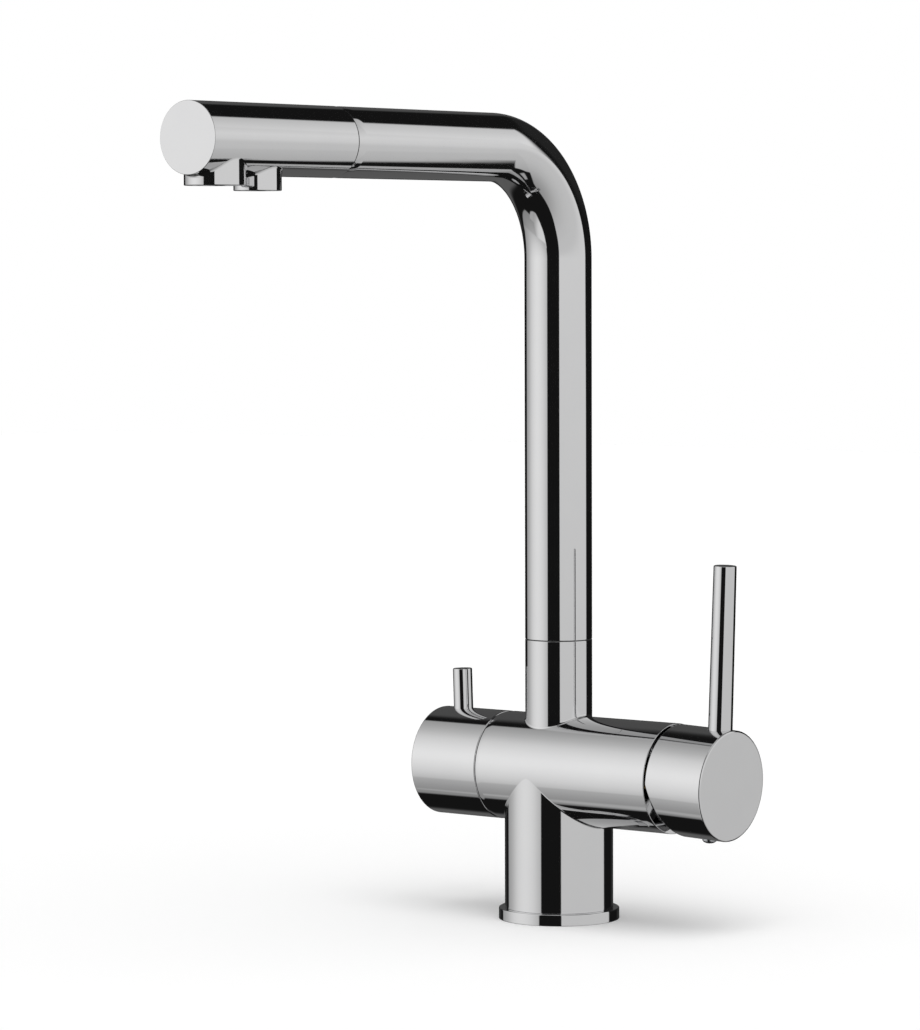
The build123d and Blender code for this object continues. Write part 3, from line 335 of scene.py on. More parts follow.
# The other metals, plastics and the like, most of them inside and under the tap. A mottle, which is the
# texture of a mould, a lap or a tarnish, varies the colour. It varies the gloss and the relief too, except
# on the turned metals, where the lathe's rings do. They cross the upright and the level axes.
workedFinishes = {
    # satin chrome, plated over a finely blasted face: the same metal, with a soft even sheen and a grain
    # of about a third of a millimetre, drawn coarser than the real grit so that it shows
    "satin_chrome": {
        "name": "satinChrome", "light": "#c9cbcd", "dark": "#b9bbbe", "mottle": 0.35, "detail": 2.0,
        "roughness": (0.2, 0.32), "depth": 0.004, "body": {"Metallic": 1.0},
    },
    # brass as the lathe made it: yellow, with fine rings that spread the highlights, and a browner
    # tarnish that comes and goes over a few millimetres
    "bare_brass": {
        "name": "turnedBrass", "light": "#d8b778", "dark": "#b8925a", "mottle": 5.0, "detail": 5.0,
        "rings": 0.5, "roughness": (0.22, 0.42), "depth": 0.006, "strength": 0.6, "body": {"Metallic": 1.0},
    },
    # stainless steel, turned in the same way: a cool grey with finer rings
    "stainless_steel": {
        "name": "turnedStainless", "light": "#c4c4c6", "dark": "#a9a9ac", "mottle": 5.0, "detail": 5.0,
        "rings": 0.4, "roughness": (0.18, 0.34), "depth": 0.004, "strength": 0.6, "body": {"Metallic": 1.0},
    },
    # EPDM rubber: near black, dusty where the mould was dry
    "black_rubber": {
        "name": "mouldedRubber", "light": "#2b2b2b", "dark": "#1d1d1d", "mottle": 1.5,
        "roughness": (0.55, 0.8), "depth": 0.02, "body": {"IOR": 1.52},
    },
    # alumina lapped flat: a cool white with a low even gloss and faint pores
    "alumina_ceramic": {
        "name": "lappedAlumina", "light": "#f3f3f0", "dark": "#e9e8e2", "mottle": 0.4,
        "roughness": (0.15, 0.3), "depth": 0.002, "body": {"IOR": 1.77},
    },
    # acetal: milky white, waxy gloss, flow marks of a few millimetres
    "moulded_acetal": {
        "name": "mouldedAcetal", "light": "#e6e5e0", "dark": "#d9d8d2", "mottle": 4.0,
        "roughness": (0.32, 0.48), "depth": 0.01, "body": {"IOR": 1.48},
    },
    # black nylon: dark and dull, with the fine spark-eroded texture of its mould
    "slip_ring_nylon": {
        "name": "mouldedNylon", "light": "#2a2a2b", "dark": "#1a1a1b", "mottle": 0.3,
        "roughness": (0.5, 0.65), "depth": 0.006, "body": {"IOR": 1.53},
    },
    # ABS of the outlets' inserts: light grey, with the soft gloss of a polished mould
    "aerator_plastic": {
        "name": "mouldedAbs", "light": "#c6c7c9", "dark": "#b8b9bb", "mottle": 1.2,
        "roughness": (0.25, 0.4), "depth": 0.004, "body": {"IOR": 1.54},
    },
    # polyethylene tube: pale blue and waxy, faintly cloudy from being drawn
    "filtered_water_tube": {
        "name": "drawnPolyethylene", "light": "#dfe6ee", "dark": "#cfd9e5", "mottle": 2.5,
        "roughness": (0.28, 0.42), "depth": 0.006, "body": {"IOR": 1.51},
    },
}


def workedFinish(c):
    material, tree = startMaterial(c["name"])
    place = addNode(tree, "TexCoord")["Object"]
    mottle = addNode(
        tree, "TexNoise", {"Vector": place, "Scale": repeatsOf(c["mottle"]), "Detail": c.get("detail", 4.0)},
    )["Fac"]
    colour = addNode(
        tree, "MixRGB", {"Fac": mottle, "Color1": toLinear(c["light"]), "Color2": toLinear(c["dark"])},
    )[0]
    texture = mottle
    if "rings" in c:
        waveScale = repeatsOf(c["rings"]) * 2 * pi / 10     # diagonal bands repeat every 2 pi / 10 of a unit
        texture = addNode(
            tree, "TexWave", {"Vector": place, "Scale": waveScale, "Distortion": 0.4, "Detail": 2.0},
            wave_type="BANDS", bands_direction="DIAGONAL",
        )["Fac"]
    sheen = addNode(
        tree, "MapRange", {"Value": texture, "To Min": c["roughness"][0], "To Max": c["roughness"][1]},
    )[0]
    surface = {"Base Color": colour, "Roughness": sheen, **c["body"]}
    return endMaterial(material, surface, texture, c["depth"], c.get("strength", 1.0))


# Nylon braid over the mixed-water hose: grey yarns in bundles, crossing at a slant both ways round the
# hose. Each bundle is about 1.5 mm wide, with painted shade, dark grey, in the gaps where two pass over each
# other.
braidValues = {
    # the dark gap colour is painted shade in the grooves between bundles
    "yarn": "#9a9da3", "grooveShade": "#3f4145", "hoseLine": 326.0, "bundlesRound": 12, "turnLength": 22.0,
    "fuzz": 0.5, "gapEdges": (0.02, 0.35), "roughness": 0.62, "depth": 0.35,
}


def nylonBraid(c):
    material, tree = startMaterial("nylonBraid")
    place = addNode(tree, "TexCoord")["Object"]
    parts = addNode(tree, "SeparateXYZ", {0: place})
    height = addNode(tree, "Math", {0: parts["Z"], 1: c["hoseLine"] * toMetres}, operation="SUBTRACT")[0]
    angle = addNode(tree, "Math", {0: height, 1: parts["X"]}, operation="ARCTAN2")[0]
    crossing = 1.0
    for slant in (1, -1):
        bundle = parts["Y"]
        for operation, value in (
            ("MULTIPLY", slant * 2 * pi * repeatsOf(c["turnLength"])), ("ADD", angle),
            ("MULTIPLY", c["bundlesRound"] / 2), ("SINE", 0.0), ("ABSOLUTE", 0.0), ("MULTIPLY", crossing),
        ):
            bundle = addNode(tree, "Math", {0: bundle, 1: value}, operation=operation)[0]
        crossing = bundle
    fuzz = addNode(tree, "TexNoise", {"Vector": place, "Scale": repeatsOf(c["fuzz"]), "Detail": 3.0})["Fac"]
    # the groove mask times a random fuzz: painted shade in the grooves, made uneven
    fuzzAndGrooveShade = addNode(tree, "Math", {0: crossing, 1: fuzz}, operation="MULTIPLY")[0]
    share = addNode(
        tree, "MapRange", {"Value": fuzzAndGrooveShade, "From Min": c["gapEdges"][0], "From Max": c["gapEdges"][1]},
    )[0]
    colour = addNode(
        tree, "MixRGB", {"Fac": share, "Color1": toLinear(c["grooveShade"]), "Color2": toLinear(c["yarn"])},
    )[0]
    return endMaterial(material, {"Base Color": colour, "Roughness": c["roughness"]}, crossing, c["depth"])


finishes = {"polished_chrome": chromePlate(chromeValues), "braided_hose": nylonBraid(braidValues)}
finishes.update({slot: workedFinish(values) for slot, values in workedFinishes.items()})

for row in frame["record"]["subparts"]:
    for place in frame["nodes"][row["node"]].material_slots:
        place.material = finishes[row["material_slot"]]
print("finishes made:", len(finishes))


# A skin is a surface under way: its points, and each face with the exact direction that the surface
# faces at its corners, so that the mirror finish shows no facets. Points closer than a thousandth of a
# millimetre are one.
def startSkin():
    return {"points": [], "numbers": {}, "faces": [], "facings": []}


def addFace(skin, corners):
    face, facings = [], []
    for point, facing in corners:
        place = (round(point.x, 3), round(point.y, 3), round(point.z, 3))
        number = skin["numbers"].setdefault(place, len(skin["points"]))
        if number == len(skin["points"]):
            skin["points"].append(point)
        if number not in face:
            face.append(number)
            facings.append(facing)
    if len(face) < 3:
        return
    spots = [skin["points"][number] for number in face]
    area = (spots[1] - spots[0]).cross(spots[2] - spots[0])
    if len(spots) == 4:
        area = (spots[2] - spots[0]).cross(spots[3] - spots[1])
    if area.dot(sum(facings, Vector((0, 0, 0)))) < 0:
        face.reverse()
        facings.reverse()
    skin["faces"].append(face)
    skin["facings"].extend(facings)


def addGrid(skin, rows, joined=True):
    for lower, upper in zip(rows, rows[1:]):
        count = len(lower)
        for here in range(count if joined else count - 1):
            after = (here + 1) % count
            addFace(skin, [lower[here], lower[after], upper[after], upper[here]])


def makePiece(name, skin, nodes, finish="polished_chrome"):
    mesh = bpy.data.meshes.new(name)
    mesh.from_pydata([point * toMetres for point in skin["points"]], [], skin["faces"])
    mesh.shade_smooth()
    mesh.normals_split_custom_set([facing.normalized() for facing in skin["facings"]])
    mesh.materials.append(finishes[finish])
    piece = bpy.data.objects.new(name, mesh)
    bpy.context.collection.objects.link(piece)
    if nodes:
        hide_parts(*nodes)
    print(name, "made,", len(mesh.polygons), "faces")
    return piece


def facingRound(axis, first, steps):
    second = axis.cross(first)
    return [first * cos(2 * pi * step / steps) + second * sin(2 * pi * step / steps) for step in range(steps)]


quarterSlices = 6          # that a quarter turn of a rounded edge is cut into


def roundedOutline(corners):
    # Corners are (distance along, radius) and, where wanted, the radius that rounds them off. The
    # surface faces to the left of the way the outline runs.
    spots = [Vector(corner[:2]) for corner in corners]
    ways = [(after - here).normalized() for here, after in zip(spots, spots[1:])]
    strips, last = [], spots[0]
    for number, way in enumerate(ways, 1):
        out = Vector((-way.y, way.x))
        rounding = corners[number][2] if len(corners[number]) > 2 else 0
        if not rounding:
            strips.append([(last, out), (spots[number], out)])
            last = spots[number]
            continue
        nextOut = Vector((-ways[number].y, ways[number].x))
        swing = atan2(out.x * nextOut.y - out.y * nextOut.x, out.dot(nextOut))
        reach = rounding * tan(abs(swing) / 2)
        bulge = -1 if swing < 0 else 1
        centre = spots[number] - way * reach + out * rounding * bulge
        strips.append([(last, out), (centre - out * rounding * bulge, out)])
        slices = ceil(abs(swing) / radians(90) * quarterSlices)
        arc = []
        for cut in range(slices + 1):
            part = swing * cut / slices
            facing = Vector((out.x * cos(part) - out.y * sin(part), out.x * sin(part) + out.y * cos(part)))
            arc.append((centre - facing * rounding * bulge, facing))
        strips.append(arc)
        last = arc[-1][0]
    return strips


def rollStrip(start, end, radius, depth, slices=10):
    # an end rolled in: the outline leaves its radius at the start and dips by the depth at the end
    strip = []
    for cut in range(slices + 1):
        part = cut / slices
        spot = Vector((start + (end - start) * part, radius - depth * part ** 2))
        strip.append((spot, Vector((2 * depth * part / (end - start), 1)).normalized()))
    return strip


def ballStrip(radius, fromOff, toOff, facing, slices=24):
    # an arc of a ball centred on the start of the axis, from one distance off the axis to another
    fromAngle = atan2(fromOff, sqrt(radius ** 2 - fromOff ** 2))
    toAngle = atan2(toOff, sqrt(radius ** 2 - toOff ** 2))
    strip = []
    for cut in range(slices + 1):
        angle = fromAngle + (toAngle - fromAngle) * cut / slices
        out = Vector((cos(angle), sin(angle)))
        strip.append((out * radius, out * facing))
    return strip


# A turning line is what a round piece is turned on: its start, its way, and the side that each ring of
# points starts from. With a radius it is a tube.
def turningLine(start, axis, first):
    return {"start": start, "axis": axis, "first": first}


uprightLine = turningLine(deckCentre, upward, toRight)
barrelLine = turningLine(barrelCentre, toRight, toBack)
armLine = turningLine(armCentre, toFront, toRight)


def turnSkin(skin, line, strips, steps):
    axis = line["axis"]
    ring = facingRound(axis, line["first"], steps)
    for strip in strips:
        rows = []
        for spot, out in strip:
            centre = line["start"] + axis * spot.x
            rows.append([(centre + facing * spot.y, axis * out.x + facing * out.y) for facing in ring])
        addGrid(skin, rows)


def turnOutline(skin, line, corners, steps):
    turnSkin(skin, line, roundedOutline(corners), steps)


def closeTube(skin, tube, face, rounding, steps):
    # a flat end with a rounded edge
    radius = tube["radius"]
    turnOutline(skin, tube, [(face - rounding, radius), (face, radius, rounding), (face, 0)], steps)


def ringPoints(tube, along, steps):
    return [tube["start"] + tube["axis"] * along + facing * tube["radius"]
            for facing in facingRound(tube["axis"], tube["first"], steps)]


def joinBranch(tube, foot, out, radius, steps, rounding=0):
    # A ball rolled round the corner between a tube and its branch leaves the corner's own surface.
    # With no rounding, it is the line where the two meet.
    axis = tube["axis"]
    sideways = (axis - out * axis.dot(out)).normalized()
    slices = 8 if rounding else 1
    rows = [[] for cut in range(slices + 1)]
    for facing in facingRound(out, sideways, steps):
        base = foot + facing * (radius + rounding) - tube["start"]
        flatBase = base - axis * base.dot(axis)
        flatOut = out - axis * out.dot(axis)
        square = flatOut.dot(flatOut)
        half = flatBase.dot(flatOut)
        rest = flatBase.dot(flatBase) - (tube["radius"] + rounding) ** 2
        centre = base + out * ((sqrt(half ** 2 - square * rest) - half) / square)
        fromTube = (centre - axis * centre.dot(axis)).normalized()
        for cut, row in enumerate(rows):
            normal = fromTube.slerp(facing, cut / slices)
            row.append((tube["start"] + centre - normal * rounding, normal))
    return {"foot": foot, "out": out, "radius": radius, "rounding": rounding, "rows": rows}


def wrapTube(skin, tube, nearRing, farRing, joins, spacing=3.0, holeGap=0.5, weld=1e-5):
    # The tube's outer face between two rings of points, unrolled flat and cut into triangles, with
    # the outlines of its branches and holes left open.
    start, axis, radius, steps = tube["start"], tube["axis"], tube["radius"], len(nearRing)
    ring = facingRound(axis, tube["first"], steps)
    second = axis.cross(tube["first"])
    near = [(point - start).dot(axis) for point in nearRing + nearRing[:1]]
    far = [(point - start).dot(axis) for point in farRing + farRing[:1]]
    flat, solid, edges = [], [], []

    def facingAt(angle):
        return tube["first"] * cos(angle) + second * sin(angle)

    def keep(along, angle, point):
        flat.append(Vector((along, angle * radius)))
        solid.append(point)
        return len(flat) - 1

    def inHole(along, angle, spare):
        for join in joins:
            offset = start + axis * along + facingAt(angle) * (radius + join["rounding"]) - join["foot"]
            height = offset.dot(join["out"])
            away = (offset - join["out"] * height).length
            if height > 0 and away < join["radius"] + join["rounding"] + spare:
                return True
        return False

    ends = {0: [], steps: []}
    for side, points in ((near, nearRing), (far, farRing)):
        numbers = [
            keep(side[column], 2 * pi * column / steps, points[column % steps]) for column in range(steps + 1)
        ]
        edges += zip(numbers, numbers[1:])
        ends[0].append((side[0], numbers[0]))
        ends[steps].append((side[0], numbers[-1]))
    lines = int((max(far) - min(near)) / spacing)
    for line in range(1, lines):
        along = min(near) + (max(far) - min(near)) * line / lines
        for column in range(steps + 1):
            angle = 2 * pi * column / steps
            clear = near[column] + spacing / 3 < along < far[column] - spacing / 3
            if clear and not inHole(along, angle, holeGap):
                number = keep(along, angle, start + axis * along + ring[column % steps] * radius)
                if column in ends:
                    ends[column].append((along, number))
    for side in ends.values():
        numbers = [number for along, number in sorted(side)]
        edges += zip(numbers, numbers[1:])
    for join in joins:
        numbers = []
        for point, normal in join["rows"][0]:
            offset = point - start
            angle = atan2(offset.dot(second), offset.dot(tube["first"])) % (2 * pi)
            numbers.append(keep(offset.dot(axis), angle, point))
        edges += zip(numbers, numbers[1:] + numbers[:1])

    spots, _, triangles, origins, _, _ = delaunay_2d_cdt(flat, edges, [], 0, weld)
    for triangle in triangles:
        along = sum(spots[number].x for number in triangle) / 3
        angle = sum(spots[number].y for number in triangle) / 3 / radius
        column = min(int(angle / (2 * pi) * steps), steps - 1)
        part = angle / (2 * pi) * steps - column
        first = near[column] + (near[column + 1] - near[column]) * part
        last = far[column] + (far[column + 1] - far[column]) * part
        if along < first or along > last or inHole(along, angle, 0):
            continue
        corners = []
        for number in triangle:
            facing = facingAt(spots[number].y / radius)
            if origins[number]:
                corners.append((solid[origins[number][0]], facing))
            else:
                corners.append((start + axis * spots[number].x + facing * radius, facing))
        addFace(skin, corners)
    for join in joins:
        if join["rounding"]:
            addGrid(skin, join["rows"])


def sinkHole(skin, join, level):
    # a plain drilled hole from the outline of a join down to a flat floor
    out = join["out"]
    floor = join["foot"] + out * level
    rim, bottom, middle = [], [], []
    for point, normal in join["rows"][-1]:
        facing = point - join["foot"]
        facing = (facing - out * facing.dot(out)).normalized()
        rim.append((point, -facing))
        bottom.append((floor + facing * join["radius"], -facing))
        middle.append((floor + facing * join["radius"], out))
    addGrid(skin, [rim, bottom])
    addGrid(skin, [middle, [(floor, out)] * len(middle)])


# Stem, barrel and neck are one casting, polished after machining, so its corners are small and even.
# A bore is a radius, and a floor is how far in it ends, from the deck or the barrel's middle.
castBody = {
    "stemRadius": 22.7, "barrelRadius": 22.8, "neckRadius": 14.0, "cornerRadius": 1.0,
    "barrelRight": 60.0, "barrelLeft": 26.8, "neckTop": 117.3, "stemFoot": 4.75, "footEdge": 0.15,
    "endRounding": 0.3, "rollLength": 2.5, "rollDepth": 0.22,
    "stopHeight": 104.0, "stopRadius": 2.0, "stopFloor": 12.4, "stopSteps": 48,
    "swivelBore": 12.3, "swivelFloor": 92.0, "hoseBore": 10.3, "stemRoof": 38.0,
    "blockBore": 20.2, "ringSeatTop": 10.2, "ringSeatBore": 21.2,
    "nutBore": 19.05, "nutEdge": 0.3, "nutFloor": 47.5, "cartridgeBore": 17.75, "cartridgeFloor": 24.0,
    "noseRadius": 12.5, "noseEnd": 33.0, "noseEdge": 0.5, "valveBore": 9.0, "valveFloor": 19.0, "steps": 160,
}


def makeTapBody(b):
    skin = startSkin()
    steps, rounding = b["steps"], b["endRounding"]
    right, left, barrelRadius = b["barrelRight"], -b["barrelLeft"], b["barrelRadius"]
    barrel = dict(barrelLine, radius=barrelRadius)
    neckJoin = joinBranch(barrel, barrelCentre, upward, b["neckRadius"], steps, b["cornerRadius"])
    stemJoin = joinBranch(barrel, barrelCentre, downward, b["stemRadius"], steps, b["cornerRadius"])
    leftRoll = left + b["rollLength"]
    wrapTube(
        skin, barrel, ringPoints(barrel, leftRoll, steps), ringPoints(barrel, right - rounding, steps),
        [neckJoin, stemJoin],
    )
    turnSkin(skin, barrelLine, [rollStrip(leftRoll, left, barrelRadius, b["rollDepth"])], steps)
    # neck, with the stop screw's hole at the back
    neck = dict(turningLine(barrelCentre, upward, toRight), radius=b["neckRadius"])
    stopHole = joinBranch(neck, upward * b["stopHeight"], toBack, b["stopRadius"], b["stopSteps"])
    neckHeight = b["neckTop"] - barrelCentre.z
    wrapTube(
        skin, neck, [point for point, normal in neckJoin["rows"][-1]],
        ringPoints(neck, neckHeight - rounding, steps), [stopHole],
    )
    sinkHole(skin, stopHole, b["stopFloor"])
    # stem, with a ring of points on its way down to the joint line with the base ring
    footLevel = barrelCentre.z - b["stemFoot"]
    stemRows = [stemJoin["rows"][-1]]
    for level in (footLevel * 0.6, footLevel - b["footEdge"]):
        stemRows.append([
            (barrelCentre + downward * level + facing * b["stemRadius"], facing)
            for facing in facingRound(downward, toRight, steps)
        ])
    addGrid(skin, stemRows)
    # hollows: swivel bore, hose passage and block chamber, from the neck's top edge to the stem's foot
    top, foot = b["neckTop"], b["stemFoot"]
    turnOutline(skin, uprightLine, [
        (top - rounding, b["neckRadius"]), (top, b["neckRadius"], rounding), (top, b["swivelBore"]),
        (b["swivelFloor"], b["swivelBore"]), (b["swivelFloor"], b["hoseBore"]),
        (b["stemRoof"], b["hoseBore"]), (b["stemRoof"], b["blockBore"]),
        (b["ringSeatTop"], b["blockBore"]), (b["ringSeatTop"], b["ringSeatBore"]), (foot, b["ringSeatBore"]),
        (foot, b["stemRadius"], b["footEdge"]), (foot + b["footEdge"], b["stemRadius"]),
    ], steps)
    # cartridge chamber at the right end of the barrel
    turnOutline(skin, barrelLine, [
        (right - rounding, barrelRadius), (right, barrelRadius, rounding),
        (right, b["nutBore"], b["nutEdge"]), (b["nutFloor"], b["nutBore"]),
        (b["nutFloor"], b["cartridgeBore"]), (b["cartridgeFloor"], b["cartridgeBore"]),
        (b["cartridgeFloor"], 0),
    ], steps)
    # threaded nose and valve chamber at its left end
    turnOutline(skin, barrelLine, [
        (-b["valveFloor"], 0), (-b["valveFloor"], b["valveBore"]), (-b["noseEnd"], b["valveBore"]),
        (-b["noseEnd"], b["noseRadius"], b["noseEdge"]), (left, b["noseRadius"]),
        (left, barrelRadius - b["rollDepth"]),
    ], steps)
    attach(makePiece("tapBody", skin, ["tap_body"]), "tap_body")


makeTapBody(castBody)


# Turned ring under the stem, with a gasket groove below and a spigot that centres it
baseRing = {
    "radius": 25.25, "height": 4.75, "topRounding": 0.45, "footRounding": 0.25, "bore": 19.4,
    "grooveInner": 21.6, "grooveOuter": 24.2, "grooveDepth": 1.6, "spigotRadius": 21.15, "spigotTop": 10.0,
    "spigotEdge": 0.4, "steps": 160,
}


def makeBaseRing(r):
    skin = startSkin()
    turnOutline(skin, uprightLine, [
        (0, r["bore"]), (0, r["grooveInner"]), (r["grooveDepth"], r["grooveInner"]),
        (r["grooveDepth"], r["grooveOuter"]), (0, r["grooveOuter"]), (0, r["radius"], r["footRounding"]),
        (r["height"], r["radius"], r["topRounding"]), (r["height"], r["spigotRadius"]),
        (r["spigotTop"], r["spigotRadius"], r["spigotEdge"]), (r["spigotTop"], r["bore"]), (0, r["bore"]),
    ], r["steps"])
    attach(makePiece("baseRing", skin, ["base_ring"]), "tap_body")


makeBaseRing(baseRing)


# The lever tips about a hidden pin inside the right end of the barrel, and leans 2 degrees when shut
leverPivot = Vector((54, 0, 62.75))
shutLean = radians(2)
handleAxis = Vector((cos(shutLean), 0, -sin(shutLean)))
handleUp = Vector((sin(shutLean), 0, cos(shutLean)))
handleLine = turningLine(leverPivot, handleAxis, toBack)

shroud = {
    "ballRadius": 17.3, "wall": 1.2, "opening": 10.5, "foot": 3.0, "footBore": 15.5, "lip": 6.4,
    "lipRadius": 18.9, "lipEdge": 0.3, "steps": 128,
}


def makeShroud(s):
    skin = startSkin()
    opening, foot, footBore, lip = s["opening"], s["foot"], s["footBore"], s["lip"]
    outer, inner = s["ballRadius"], s["ballRadius"] - s["wall"]
    lipInner = sqrt(outer ** 2 - lip ** 2)
    strips = roundedOutline([
        (foot, footBore), (foot, s["lipRadius"]), (lip, s["lipRadius"], s["lipEdge"]), (lip, lipInner),
    ])
    strips.append(ballStrip(outer, lipInner, opening, 1))
    strips += roundedOutline([
        (sqrt(outer ** 2 - opening ** 2), opening), (sqrt(inner ** 2 - opening ** 2), opening),
    ])
    strips.append(ballStrip(inner, opening, footBore, -1))
    strips += roundedOutline([(sqrt(inner ** 2 - footBore ** 2), footBore), (foot, footBore)])
    turnSkin(skin, turningLine(leverPivot, toRight, toBack), strips, s["steps"])
    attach(makePiece("mixerShroud", skin, ["mixer_shroud"]), "tap_body")


makeShroud(shroud)


# Levers are solid drawn rods, each in a blind seat in its cap. The mixing one tapers a hair towards its
# rounded-off top.
filterLean = radians(1.9)
leverRods = {
    "mixerLever": {
        "node": "mixer_lever_rod", "body": "mixer_lever", "foot": leverPivot + handleAxis * 27.6,
        "out": handleUp, "seat": 22.15, "baseRadius": 5.0, "topRadius": 4.7, "top": 89.67,
    },
    "filterLever": {
        "node": "filter_lever_rod", "body": "filter_handle", "foot": barrelCentre + toLeft * 50,
        "out": Vector((-sin(filterLean), 0, cos(filterLean))), "seat": 22.2, "baseRadius": 4.1,
        "topRadius": 4.1, "top": 39.6,
    },
}
rodShape = {"topRounding": 0.5, "steps": 96}

# Right cap: the lower half of its rim is cut back at a slant, to clear the barrel as the lever tips
mixerCap = {
    "radius": 22.8, "bore": 20.3, "rim": 6.8, "cutSlope": 0.34, "boreEnd": 18.5, "face": 34.12,
    "rimEdge": 0.5, "faceRounding": 0.8, "seatRadius": 5.15, "plugAt": 23.86, "plugHole": 3.1,
    "plugLevel": 18.0, "plugSteps": 64, "steps": 160,
}


def makeMixerCap(c, rod):
    skin = startSkin()
    steps, radius, rimEdge = c["steps"], c["radius"], c["rimEdge"]
    tube = dict(handleLine, radius=radius)
    seat = joinBranch(tube, rod["foot"], rod["out"], c["seatRadius"], rodShape["steps"])
    plugFoot = leverPivot + handleAxis * c["plugAt"]
    plugHole = joinBranch(tube, plugFoot, -handleUp, c["plugHole"], c["plugSteps"])

    def rimAlong(radius, facing):
        return c["rim"] + c["cutSlope"] * max(0, -radius * facing.dot(handleUp))

    ring = facingRound(handleAxis, toBack, steps)
    nearRing = [
        leverPivot + handleAxis * (rimAlong(radius, facing) + rimEdge) + facing * radius for facing in ring
    ]
    wrapTube(skin, tube, nearRing, ringPoints(tube, c["face"] - c["faceRounding"], steps), [seat, plugHole])
    sinkHole(skin, seat, rod["seat"])
    sinkHole(skin, plugHole, c["plugLevel"])
    # the rim's two halves, the upper square and the lower slanting, each with its rounded outer edge
    half = steps // 2
    slantFacing = (-handleAxis - handleUp * c["cutSlope"]).normalized()
    floor = leverPivot + handleAxis * c["boreEnd"]
    for columns, rimFacing in ((range(half + 1), -handleAxis), (range(half, steps + 1), slantFacing)):
        facings = [ring[column % steps] for column in columns]
        rows = []
        for cut in range(quarterSlices + 1):
            turn = radians(90) * cut / quarterSlices
            rows.append([
                (
                    leverPivot + facing * (radius - rimEdge * (1 - cos(turn)))
                    + handleAxis * (rimAlong(radius, facing) + rimEdge * (1 - sin(turn))),
                    (facing * cos(turn) + rimFacing * sin(turn)).normalized(),
                )
                for facing in facings
            ])
        addGrid(skin, rows, joined=False)
        inner = [
            leverPivot + facing * c["bore"] + handleAxis * rimAlong(c["bore"], facing) for facing in facings
        ]
        addGrid(skin, [
            [(point, rimFacing) for point, normal in rows[-1]], [(point, rimFacing) for point in inner],
        ], joined=False)
        addGrid(skin, [
            [(point, -facing) for point, facing in zip(inner, facings)],
            [(floor + facing * c["bore"], -facing) for facing in facings],
        ], joined=False)
    closeTube(skin, tube, c["face"], c["faceRounding"], steps)
    addGrid(skin, [
        [(floor + facing * c["bore"], -handleAxis) for facing in ring], [(floor, -handleAxis)] * steps,
    ])
    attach(makePiece("mixerHandleCap", skin, ["mixer_handle_cap"]), "mixer_lever")


makeMixerCap(mixerCap, leverRods["mixerLever"])


def makeLever(name, rod):
    skin = startSkin()
    turnOutline(skin, turningLine(rod["foot"], rod["out"], toBack), [
        (rod["seat"], 0), (rod["seat"], rod["baseRadius"]),
        (rod["top"], rod["topRadius"], rodShape["topRounding"]), (rod["top"], 0),
    ], rodShape["steps"])
    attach(makePiece(name, skin, [rod["node"]]), rod["body"])


for name, rod in leverRods.items():
    makeLever(name, rod)


# Plug that hides the clamping screw under the right cap, a low dome
screwPlug = {"radius": 3.0, "low": 18.05, "rim": 23.0, "crown": 24.5, "slices": 12, "steps": 64}


def makeScrewPlug(p):
    skin = startSkin()
    crownHeight = p["crown"] - p["rim"]
    dome = []
    for cut in range(p["slices"] + 1):
        turn = radians(90) * cut / p["slices"]
        spot = Vector((p["rim"] + crownHeight * sin(turn), p["radius"] * cos(turn)))
        dome.append((spot, Vector((sin(turn) / crownHeight, cos(turn) / p["radius"])).normalized()))
    sides = roundedOutline([(p["low"], 0), (p["low"], p["radius"]), (p["rim"], p["radius"])])
    line = turningLine(leverPivot + handleAxis * mixerCap["plugAt"], -handleUp, toBack)
    turnSkin(skin, line, sides + [dome], p["steps"])
    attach(makePiece("screwPlug", skin, ["mixer_screw_plug"], "satin_chrome"), "mixer_lever")


makeScrewPlug(screwPlug)


# Left cap, which turns the filtered-water valve
filterCap = {
    "radius": 22.8, "bore": 20.3, "rim": 27.2, "boreEnd": 45.5, "face": 61.4, "rimEdge": 0.5,
    "boreEdge": 0.2, "faceRounding": 0.8, "seatRadius": 4.15, "screwAt": 51.0, "screwHole": 2.1,
    "screwLevel": 9.0, "screwSteps": 48, "steps": 160,
}


def makeFilterCap(c, rod):
    skin = startSkin()
    steps, radius, rim, face = c["steps"], c["radius"], c["rim"], c["face"]
    line = turningLine(barrelCentre, toLeft, toBack)
    tube = dict(line, radius=radius)
    seat = joinBranch(tube, rod["foot"], rod["out"], c["seatRadius"], rodShape["steps"])
    screwFoot = barrelCentre + toLeft * c["screwAt"]
    screwHole = joinBranch(tube, screwFoot, downward, c["screwHole"], c["screwSteps"])
    wrapTube(
        skin, tube, ringPoints(tube, rim + c["rimEdge"], steps),
        ringPoints(tube, face - c["faceRounding"], steps), [seat, screwHole],
    )
    sinkHole(skin, seat, rod["seat"])
    sinkHole(skin, screwHole, c["screwLevel"])
    closeTube(skin, tube, face, c["faceRounding"], steps)
    turnOutline(skin, line, [
        (c["boreEnd"], 0), (c["boreEnd"], c["bore"]), (rim, c["bore"], c["boreEdge"]),
        (rim, radius, c["rimEdge"]), (rim + c["rimEdge"], radius),
    ], steps)
    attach(makePiece("filterHandleCap", skin, ["filter_handle_cap"]), "filter_handle")


makeFilterCap(filterCap, leverRods["filterLever"])


# Spout: one tube up the column, round the bend and out along the arm, and the hoses inside it
spoutPath = {"bendRadius": 45.5, "bendSlices": 60}


